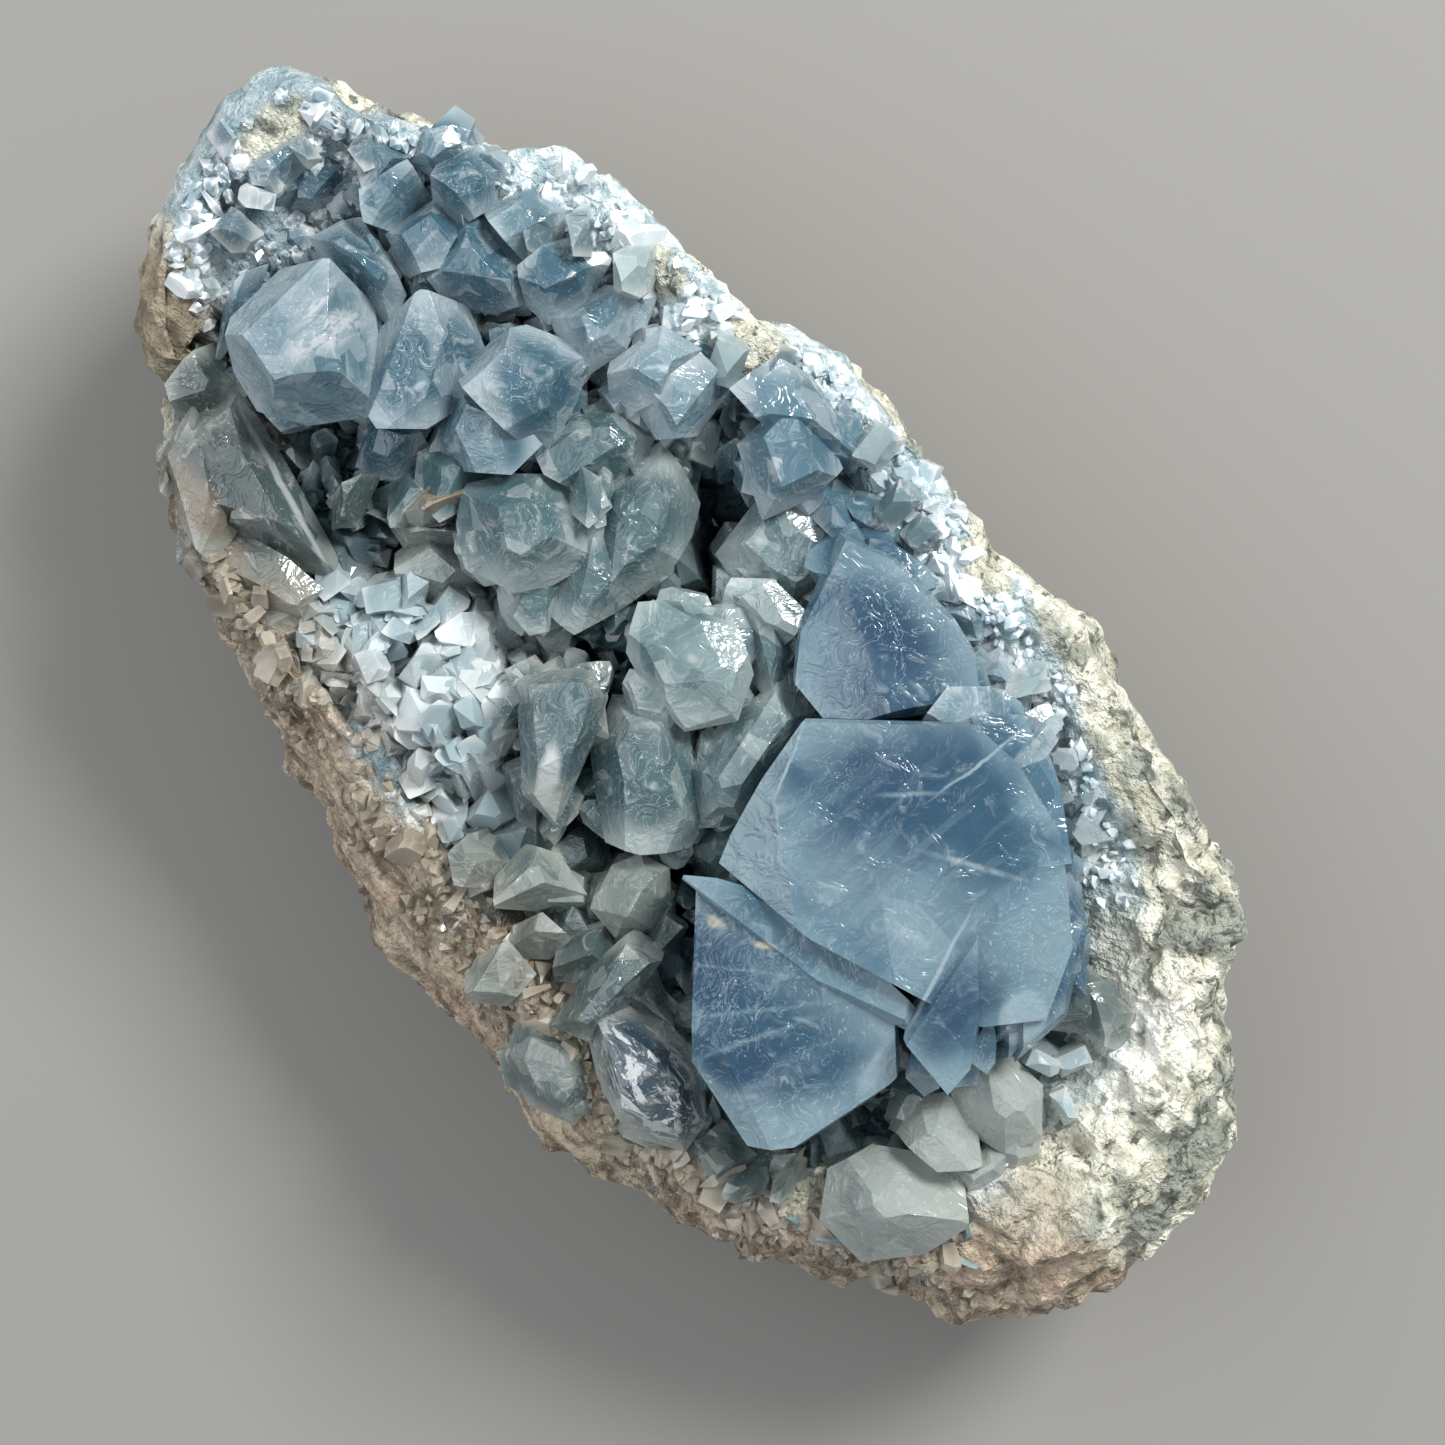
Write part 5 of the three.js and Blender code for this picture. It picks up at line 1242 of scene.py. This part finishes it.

# %% [markdown]
# The rock is marl. Where the rim broke open it is cream, crumbly, and full of dark specks. Its old skin is
# a greyish brown rind with streaks along the stone. The knob at the narrow end is plain beige, and the
# ground right under the crystals is pale blue, with painted shade where it lies deep. The marl is dry and
# rough.

# %% The rock's material
def rock_material():
    r = Recipe("marl")
    coarse, middle, fine = r.noise(9, 4, 0.6), r.noise(2.6, 4, 0.6), r.noise(0.8, 3, 0.6)
    cream = r.blend(srgb(180, 178, 160), srgb(230, 229, 214), r.smooth(middle, 0.35, 0.62))
    cream = r.blend(cream, srgb(132, 140, 130), r.smooth(coarse, 0.47, 0.6) * 0.85)
    speck = r.smooth(r.noise(1.5, 3, 0.65), 0.57, 0.65)
    cream = r.blend(cream, srgb(80, 86, 78), speck * 0.85)
    cream = r.blend(cream, srgb(70, 72, 68), r.smooth(r.noise(4.5, 4, 0.7, 0.6), 0.55, 0.64) * 0.75)
    grains = r.noise(1.3, 3, 0.65)
    streaks = r.noise(4.0, 4, 0.65, 0.5, (2, 1, 0.8))
    rind = r.blend(srgb(118, 104, 88), srgb(196, 182, 160), r.smooth(streaks, 0.36, 0.62))
    rind = r.blend(rind, srgb(184, 160, 142), r.smooth(coarse, 0.5, 0.66) * 0.6)
    rind = r.blend(rind, srgb(108, 106, 100), r.smooth(coarse, 0.46, 0.36) * 0.6)
    rind = r.blend(rind, srgb(78, 68, 58), r.smooth(grains, 0.46, 0.36) * 0.5)
    rind = r.blend(rind, srgb(220, 212, 196), r.smooth(grains, 0.57, 0.66) * 0.5)
    knob = r.blend(srgb(118, 104, 84), srgb(160, 146, 124), r.smooth(middle, 0.35, 0.65))
    ground = r.blend(srgb(150, 172, 178), srgb(226, 236, 238), r.smooth(middle, 0.4, 0.6))
    ground = r.tinted(ground, [(-75, 6, 13, 13, 0, 0.4, 3, (116, 140, 150), 0.7)])
    # Painted shade: the ground turns dark blue where it lies deep in the hollow.
    ground = r.blend(ground, srgb(52, 78, 88), r.smooth(r.height, 43.5, 36))
    brown = r.strongest(r.spot, [(66, -7, 7, 6, 60, 0.4, 2), (-37, -29.5, 7, 3.5, -15, 0.4, 2)])
    cream = r.blend(cream, srgb(150, 136, 118), brown * 0.6)
    bright = r.spot(58.5, 15, 5.5, 7, 0, 0.5, 2)
    cream = r.blend(cream, srgb(246, 245, 236), bright * r.smooth(middle, 0.3, 0.5))
    colour = r.blend(cream, rind, r.kept("rind"))
    colour = r.blend(colour, knob, r.kept("knob") * 0.85)
    icy = r.kept("crystal_ground")
    colour = r.blend(colour, ground, icy)
    relief = r.bumpy(middle * 0.6 + fine * 1.1, 1.1)
    roughness = r.smooth(icy, 0.4, 0.8, 0.9, 0.35)
    return r.finish(colour, roughness, relief, IOR=1.5, Specular_IOR_Level=0.4)


rock.data.materials.append(rock_material())
print("the rock's material has", len(rock.data.materials[0].node_tree.nodes), "nodes")

# %% [markdown]
# Celestite is clear and pale, and a thick crystal of it looks as blue as deep water. So the crystals let
# light through and bend it by celestite's own 1.62, and in the two blue groups a little of each colour is
# taken up on the way. What makes them stone and not glass is inside them: milky clouds, inner flats that
# are paler or deeper than their neighbours, cream crumbs and fine cracks, all painted as patches of
# colour. Light and shade are painted too: white glints, flashes on fractures, highlights along some edges,
# shade on some facets, and dark shade on what lies deep in the hollow.

# %% The crystals' materials
CELESTITE_IOR = 1.62


def crystal_material(name, colours, milky, clear=0.5, marks=None, flats=0.0, density=0.0, dye=None):
    """colours are the deep one, the pale one, the one of the outer faces and the milk's."""
    r = Recipe(name)
    deep, pale, rim, milk = [srgb(*colour) for colour in colours]
    cloud, wisp = r.noise(14, 2, 0.5, 0.6), r.noise(3.2, 3, 0.65, 1.0)
    tone = r.kept("tone")
    colour = r.blend(deep, pale, r.smooth(cloud + (tone - 0.5) * 0.5, 0.36, 0.66))
    outwards = r.node("ShaderNodeVectorMath", {"operation": "LENGTH"}, {0: r.own_place()}, "Value")
    if flats:
        flat = r.flats(flats, (1, 0.7, 0.6), (0.5, 0.3, 0.9))
        colour = r.blend(colour, deep, r.smooth(flat, 0.4, 0.2) * 0.55)
        colour = r.blend(colour, rim, r.smooth(flat, 0.72, 0.9) * 0.4)
    if marks:
        colour = marks(r, colour)
    colour = r.blend(colour, rim, r.smooth(outwards + (cloud - 0.5) * 1.2, 0.55, 1.15) * 0.8)
    colour = r.blend(colour, milk, r.smooth(wisp, 0.54, 0.74) * milky)
    off_crack = (wisp - 0.47).sum("ABSOLUTE", wisp - 0.47)
    crack = r.smooth(off_crack, 0.012, 0.0) * r.smooth(cloud, 0.35, 0.6)
    colour = r.blend(colour, milk, crack * 0.65)
    # Painted shade: deep in the hollow every crystal turns dark blue-grey.
    painted_deep_shade = r.smooth(r.height, 42, 34) * r.spot(-6, 4, 62, 20, 0, 0.3)
    colour = r.blend(colour, srgb(18, 40, 52), painted_deep_shade * 0.92)
    grit = r.noise(0.5, 2, 0.5)
    # Painted glints: small white specks on the crystals' surface.
    painted_glints = r.smooth(grit, 0.68, 0.76) * r.smooth(cloud, 0.4, 0.6)
    colour = r.blend(colour, srgb(240, 244, 246), painted_glints * 0.7)
    roughness = r.smooth(wisp + grit * 0.3, 0.5, 0.95, 0.05, 0.34)
    bump = r.bumpy(wisp, 0.4) if flats else None
    return r.finish(colour, roughness, bump, density, dye, IOR=CELESTITE_IOR, Transmission_Weight=clear)


def fine_marks(r, colour):
    return r.tinted(colour, [
        (-20, -19, 17, 10, 10, 0.3, 5, (226, 236, 238), 0.9),
        (44, 20, 24, 12, -40, 0.3, 5, (210, 228, 236), 0.95),
        (-75, 5, 13, 13, 0, 0.3, 5, (110, 136, 148), 0.85),
        (-66, 19, 10, 8, 20, 0.3, 5, (132, 158, 170), 0.5),
        (-10, -33, 42, 6, 4, 0.3, 5, (170, 156, 134), 0.8),
        (-62, -20, 15, 12, -20, 0.3, 5, (120, 116, 104), 0.8),
    ])


def icy_marks(r, colour):
    # Painted shade: the lower crystals of the heap turn grey-blue.
    colour = r.blend(colour, srgb(150, 172, 180), r.smooth(r.height, 45, 40.5) * 0.6)
    return r.tinted(colour, [(-24, -30, 24, 6, -10, 0.4, 4, (188, 176, 156), 0.7)])


def great_marks(r, colour):
    white = srgb(196, 216, 226)
    broken = r.smooth(r.noise(1.4, 4, 0.7), 0.35, 0.62)
    deep = r.strongest(r.spot, [
        (15, 15, 8, 11, 45, 0.9, 4), (19, -14, 7, 5, -20, 0.9, 3), (8, 24, 9, 5, 10, 0.8, 3),
        (43, 3, 3, 8, 20, 0.7, 2), (36, -19, 6, 4, 0, 0.9, 3),
    ])
    colour = r.blend(colour, srgb(36, 76, 110), deep * 0.85)
    haze = r.strongest(r.spot, [
        (33, 7, 11, 5, 30, 0.95, 5), (24, 2, 7, 4, 20, 0.9, 4), (31, -9, 9, 2, 14, 0.9, 3, 0.5),
    ])
    colour = r.blend(colour, srgb(166, 194, 206), haze * 0.45)
    ghosts = r.noise(1.6, 3, 0.6, 0.3, (1, 9, 9), (0, 0, math.radians(60)))
    ghosts = r.smooth(ghosts, 0.52, 0.6) * r.spot(29, 8, 15, 13, 30, 0.8, 4)
    colour = r.blend(colour, srgb(176, 202, 214), ghosts * 0.14)
    # Painted shade on the left facets of the first great block.
    painted_facet_shade = r.strongest(r.spot, [(10.5, 1, 3.2, 8, 28, 0.35, 1.5), (17, -4, 6, 2.6, -30, 0.35, 1.5)])
    colour = r.blend(colour, srgb(62, 104, 124), painted_facet_shade * 0.8)
    fans = r.strongest(r.line, [
        (33, -8.4, 24.5, -21.5, 0.5, 0.9, 2), (37.3, -12, 35.3, -25.9, 2.4, 0.9, 2, 0.7),
        (34, -10, 29, -23, 0.6, 0.9, 2), (30, -7.5, 20, -17, 0.35, 0.9, 2, 0.7),
    ])
    colour = r.blend(colour, srgb(160, 188, 202), fans * (broken * 0.4 + 0.15))
    # White patches where fractures catch the light: real fractures with a painted reflection.
    fracture_glints = r.spot(33.5, 4, 1.8, 0.8, 20, 0.9, 4) * 0.8
    fracture_glints = fracture_glints.most(r.line(28.5, 12, 36.5, 17.4, 0.6, 0.9, 2) * 0.7) * (broken * 0.7 + 0.2)
    chips = r.strongest(r.spot, [(43, -8.5, 0.9, 2.6, 25, 0.6, 2, 0.7), (49, 8, 2.4, 3.2, 20, 0.15, 1, 0.7)])
    colour = r.blend(colour, white, fracture_glints.most(chips))
    # Painted highlights: thin white lines along facet edges.
    painted_edge_highlights = r.strongest(r.line, [
        (7.9, 11.3, 12.7, 2.5, 0.35, 0.5, 0.3), (12.7, 2.5, 19, -1.6, 0.3, 0.6, 0.5, 0.6),
        (24.5, 29, 24, 17, 0.35, 0.6, 1.2), (24, 17, 20, 12, 0.5, 0.8, 2, 0.6),
        (36.5, 10.5, 42, -3, 0.5, 0.5, 0.4),
    ])
    colour = r.blend(colour, white, painted_edge_highlights * 0.65)
    crumbs = r.strongest(r.spot, [(18.5, -11.5, 1.2, 0.6, 20, 0.5, 3), (24, -9, 1.1, 0.4, 40, 0.5, 3)])
    return r.blend(colour, srgb(206, 200, 178), crumbs * (broken * 0.5 + 0.5))


def blue_marks(r, colour):
    flakes = r.smooth(r.noise(1.1, 3, 0.7, 0.4, (1, 3, 3), (0, 0, 1.4)), 0.42, 0.56)
    # Painted flashes: white reflection on the flakes inside a blue crystal at the narrow end.
    painted_flash = r.strongest(r.spot, [(-59, -2, 1.6, 4.6, -8, 0.5, 2), (-62.6, -1, 1.0, 3.6, 8, 0.5, 2, 0.8)])
    return r.blend(colour, srgb(228, 236, 242), painted_flash * (flakes * 0.75 + 0.25))


def low_marks(r, colour):
    white = srgb(226, 232, 236)
    colour = r.blend(colour, white, r.line(-59, -15, -39, -19, 0.7, 0.5, 0.8) * 0.8)
    colour = r.tinted(colour, [(27, -27, 8, 5, -10, 0.4, 2, (44, 72, 92), 0.85)])
    cracks = r.smooth(r.noise(2.2, 4, 0.75, 1, (3, 1, 1), (0, 0, 0.6)), 0.51, 0.57)
    colour = r.blend(colour, white, r.spot(28, -28, 9, 5.5, -10, 0.4, 2) * cracks)
    colour = r.tinted(colour, [
        (-58, -22, 13, 6, -10, 0.5, 3, (58, 72, 74), 0.6), (-8, -11, 9, 9, 0, 0.4, 1, (84, 120, 132), 0.55),
    ])
    colour = r.blend(colour, white, r.line(-7.5, -12.5, -3.2, -18, 2.2, 0.35, 0.8))
    colour = r.tinted(colour, [(55, -6, 9, 14, 0, 0.3, 3, (206, 216, 214), 0.6)])
    tan = r.strongest(r.spot, [
        (-37, -3, 2, 4, 0, 0.5, 1), (-50, -27, 10, 3, -10, 0.5, 2, 0.7),
        (-38, -26, 6, 5, 0, 0.8, 3, 0.6), (3, -31, 10, 5, 0, 0.8, 3, 0.4),
    ])
    return r.blend(colour, srgb(190, 168, 140), tan * 0.7)


def veil_material(name, colour, cover):
    r = Recipe(name)
    wisp = r.noise(2.2, 5, 0.65, 1.5, (3, 1, 1))
    return r.finish(colour, 0.6, IOR=1.0, Specular_IOR_Level=0.0, Alpha=r.smooth(wisp, 0.5, 0.72) * cover)


veil_look = veil_material("white_veil", srgb(232, 238, 240), 0.75)
pieces["great_blue_veils"].data.materials.append(veil_look)

looks = {
    "great_blue_crystals": crystal_material(
        "great_celestite", [(50, 96, 124), (98, 140, 162), (156, 186, 198), (190, 208, 216)],
        0.4, marks=great_marks, flats=9.0, density=10.0, dye=(0.4, 0.7, 0.9, 1)),
    "blue_group_crystals": crystal_material(
        "blue_celestite", [(72, 114, 134), (118, 152, 166), (200, 218, 226), (226, 236, 238)],
        0.55, marks=blue_marks, flats=3.6, density=8.0, dye=(0.5, 0.74, 0.9, 1)),
    "middle_crystals": crystal_material(
        "grey_green_celestite", [(88, 120, 128), (150, 176, 180), (204, 218, 218), (226, 234, 230)],
        0.6, flats=3.6),
    "rim_crystals": crystal_material(
        "rim_celestite", [(98, 136, 154), (156, 184, 196), (206, 220, 228), (240, 246, 248)],
        0.65, flats=3.6),
    "low_side_crystals": crystal_material(
        "low_side_celestite", [(94, 114, 116), (154, 168, 164), (196, 204, 198), (226, 226, 218)],
        0.6, marks=low_marks, flats=3.6),
    "small_crystals": crystal_material(
        "small_celestite", [(112, 142, 150), (172, 194, 198), (236, 242, 240), (252, 252, 250)],
        0.6, marks=fine_marks),
    "icy_crystals": crystal_material(
        "icy_celestite", [(172, 194, 200), (224, 235, 238), (246, 250, 250), (252, 253, 252)],
        0.6, clear=0.35, marks=icy_marks),
    "thicket_crystals": crystal_material(
        "thicket_celestite", [(100, 134, 144), (156, 184, 190), (224, 236, 238), (240, 246, 244)],
        0.6, clear=0.7, marks=fine_marks),
}
for name, look in looks.items():
    pieces[name].data.materials.append(look)
print("crystal materials:", ", ".join(look.name for look in looks.values()))

# %% [markdown]
# Now the fine crystals can be scattered. Four patches of ground take them: the left part of the high rim,
# where they are white and dense; its right part, where they are smaller and pale blue; the hollow, where
# they are dark and larger; and the low side, where they are clear over brown marl. Each patch is laid on
# the real rock, a little above its lumps. The cover attribute thins the crystals out towards the edges of
# the patch and near the widest place of the stone.

# %% The fine crystals
def unit_template(seed):
    verts, faces = small_crystal(seed)
    made = new_object("unit_crystal_" + str(seed), verts * MM, faces)
    store_places(made, own_places(verts))
    return made


ROCK_TREE = BVHTree.FromObject(rock, bpy.context.evaluated_depsgraph_get())
PATCH_AROUND, PATCH_ROWS, PATCH_LIFT = 240, 60, 0.9
OUTER_ROWS_A_UNIT = 10


def ground_patch(name, first, last, cover):
    """Ground between two depths: 0 is the crest, 1 the middle of the hollow, below 0 the outer slope."""
    shares, depths = np.arange(PATCH_AROUND) / PATCH_AROUND, np.linspace(first, last, PATCH_ROWS)
    rows = [
        inside_point(shares, d) if d >= 0 else outside_point(shares, CREST_ROW + OUTER_ROWS_A_UNIT * d)
        for d in depths
    ]
    points = np.concatenate([np.stack(row, axis=1) for row in rows])
    lifted, upward = [], []
    for point in points:
        place, normal = ROCK_TREE.find_nearest(Vector(point * MM))[:2]
        lifted.append(place + normal * PATCH_LIFT * MM)
        upward.append(normal[2])
    box = np.array([low_corner, high_corner])[:, :2]
    within = np.minimum(np.array(lifted)[:, :2] - box[0], box[1] - np.array(lifted)[:, :2]).min(axis=1) / MM
    thin = smooth(3.0, 7.0, within) * (smooth(0.0, 0.6, np.array(upward)) if first >= 0 else 1)
    faces = []
    for start in range(0, len(points) - PATCH_AROUND, PATCH_AROUND):
        for i in range(PATCH_AROUND):
            a, b = start + i, start + (i + 1) % PATCH_AROUND
            faces.append((a, b, b + PATCH_AROUND, a + PATCH_AROUND))
    patch = new_object(name + "_ground", lifted, faces)
    if patch.data.polygons[0].normal.dot(ROCK_TREE.find_nearest(lifted[0])[1]) < 0:
        patch.data.flip_normals()
    seen_x, seen_y = seen_from_above(*points.T)
    s = section(np.tile(shares, len(depths)))
    store(patch, "cover", np.clip(cover(seen_x, seen_y, s, points), 0, 1) * thin)
    return patch


def rim_cover(x, y, s, p):
    keep = (1 - smooth(0.15, 0.4, s["low"])) * (1 - smooth(0.35, 0.6, s["blunt"]))
    for patch_x, patch_y, wide, high in BARE_PATCHES:
        keep = keep * smooth(0.7, 1.2, np.hypot((x - patch_x) / wide, (y - patch_y) / high))
    return keep * smooth(-0.5, 0.2, lumps(p[:, 0] / 6, p[:, 1] / 6, 2) + 0.5)


def left_rim_cover(x, y, s, p):
    return rim_cover(x, y, s, p) * smooth(16, 8, x)


def right_rim_cover(x, y, s, p):
    bare = beyond_bare_edge(x, y, 3 * lumps(x / 4, y / 4, 9))
    return rim_cover(x, y, s, p) * smooth(6, 12, x) * smooth(-2, 6, y) * (1 - bare)


def hollow_cover(x, y, s, p):
    return np.ones(len(x)) * 0.95


def low_cover(x, y, s, p):
    keep = smooth(0.2, 0.5, s["low"]) * (1 - smooth(0.6, 0.9, s["blunt"])) * smooth(29, 38, p[:, 2])
    keep = keep * smooth(-66, -56, x)
    return keep * smooth(-0.5, 0.2, lumps(x / 7, y / 7, 4) + 0.5 * smooth(34, 40, p[:, 2]) - 0.2)


DRUSES = {
    "rim_druse": dict(
        first=0.0, last=0.36, cover=left_rim_cover, spacing=1.15, smallest=1.3, largest=4.4,
        look=crystal_material(
            "white_druse", [(180, 202, 212), (220, 232, 238), (240, 246, 248), (252, 253, 253)],
            0.8, clear=0.2, marks=fine_marks)),
    "right_rim_druse": dict(
        first=0.0, last=0.5, cover=right_rim_cover, spacing=0.85, smallest=1.0, largest=3.0,
        look=crystal_material(
            "pale_blue_druse", [(172, 202, 214), (216, 232, 240), (238, 246, 250), (250, 252, 253)],
            0.8, clear=0.2)),
    "hollow_druse": dict(
        first=0.3, last=0.97, cover=hollow_cover, spacing=1.8, smallest=1.7, largest=5.4,
        look=crystal_material(
            "dark_druse", [(96, 126, 136), (150, 176, 182), (210, 222, 222), (226, 234, 232)],
            0.5, clear=0.4, marks=fine_marks)),
    "low_side_druse": dict(
        first=-0.24, last=0.36, cover=low_cover, spacing=1.25, smallest=1.1, largest=4.4,
        look=crystal_material(
            "clear_druse", [(142, 134, 118), (186, 176, 158), (208, 200, 184), (226, 220, 206)],
            0.5, marks=fine_marks)),
}
DRUSE_LEAN, FIRST_DRUSE_SEED = 0.75, 3
templates = [unit_template(seed) for seed in (301, 302, 303, 304)]
for seed, (name, druse) in enumerate(DRUSES.items(), FIRST_DRUSE_SEED):
    patch = ground_patch(name, druse["first"], druse["last"], druse["cover"])
    pieces[name] = scattered(name, patch, templates, druse["look"], Spacing=druse["spacing"] * MM,
                             Smallest=druse["smallest"], Largest=druse["largest"], Lean=DRUSE_LEAN, Seed=seed)
    print(name, len(pieces[name].data.polygons), "faces")
for template in templates:
    bpy.data.objects.remove(template)

# %% [markdown]
# Sharp edges catch a thin line of light, and no real edge is perfectly sharp. A narrow bevel on every
# crystal that isn't scattered gives it that line.

# %% Narrow bevels
GREAT_BEVEL, USUAL_BEVEL, SHARP_FROM = 0.3, 0.18, 14
for name in looks:
    bevel = pieces[name].modifiers.new("narrow_bevel", "BEVEL")
    bevel.width = (GREAT_BEVEL if name == "great_blue_crystals" else USUAL_BEVEL) * MM
    bevel.segments = 1
    bevel.limit_method = "ANGLE"
    bevel.angle_limit = math.radians(SHARP_FROM)
print("narrow bevels on", len(looks), "pieces")

# %% [markdown]
# The stone lies on a plain grey floor. The key light stands over the high rim, about 45 degrees high, so
# that facets which lean that way flash. A broad fill light stands over the low side and the narrow end,
# a weak small one beside the narrow end, and the pale world brightens the shadows. The camera looks
# straight down, turned so that the long axis runs from upper left to lower right.

# %% Floor, light and camera
FLOOR_HALF, FLOOR_Z = 3, -0.0002
CAMERA_X, CAMERA_Y, CAMERA_TURN, HALF_VIEW = 4.91, 3.8, 50, 80.28
WORLD_STRENGTH = 0.57

floor_corners = [(x * FLOOR_HALF, y * FLOOR_HALF, FLOOR_Z) for x, y in ((-1, -1), (1, -1), (1, 1), (-1, 1))]
floor = new_object("floor", floor_corners, [(0, 1, 2, 3)])
floor_recipe = Recipe("pale_floor")
grey = srgb(134, 133, 130)
floor.data.materials.append(floor_recipe.finish(grey, 0.8, Specular_IOR_Level=0.2))


def soft_light(name, direction, distance, size, power, colour):
    data = bpy.data.lights.new(name, "AREA")
    data.shape, data.size, data.energy, data.color = "SQUARE", size, power, colour
    light = bpy.data.objects.new(name, data)
    bpy.context.scene.collection.objects.link(light)
    light.location = Vector(direction).normalized() * distance
    light.rotation_euler = Vector(direction).to_track_quat("Z", "Y").to_euler()


soft_light("key_light", (-0.05, 0.68, 0.73), 1.1, 0.36, 15.0, (1.0, 0.985, 0.95))
soft_light("fill_light", (-0.6, -0.5, 0.8), 1.4, 1.5, 11.5, (0.95, 0.97, 1.0))
soft_light("left_strip", (-0.85, 0.35, 0.55), 0.9, 0.3, 0.8, (1.0, 1.0, 1.0))
world = bpy.data.worlds.new("pale_room")
world.use_nodes = True
world.node_tree.nodes["Background"].inputs["Color"].default_value = (0.94, 0.97, 1.0, 1)
world.node_tree.nodes["Background"].inputs["Strength"].default_value = WORLD_STRENGTH
bpy.context.scene.world = world

camera_data = bpy.data.cameras.new("camera")
camera_data.angle = 2 * math.atan(HALF_VIEW / EYE_ABOVE_FACE)
camera_data.clip_start, camera_data.clip_end = 0.01, 10
camera = bpy.data.objects.new("camera", camera_data)
bpy.context.scene.collection.objects.link(camera)
camera.location = (CAMERA_X * MM, CAMERA_Y * MM, (FACE_Z + EYE_ABOVE_FACE) * MM)
camera.rotation_euler = (0, 0, math.radians(CAMERA_TURN))
bpy.context.scene.camera = camera
bpy.context.scene.view_settings.view_transform = "Standard"
print("the camera's view is", round(math.degrees(camera_data.angle), 2), "degrees wide")

# %% [markdown]
# Last, every piece is told what it belongs to. The whole stone is one body. The rock stands for the solid
# of the rock, and the crystals, from the great blocks to the finest, all stand for the one crust.

# %% What each piece belongs to
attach(rock, "root")
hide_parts("rock_shell")
for piece in pieces.values():
    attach(piece, "root")
    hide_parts("crystal_crust")
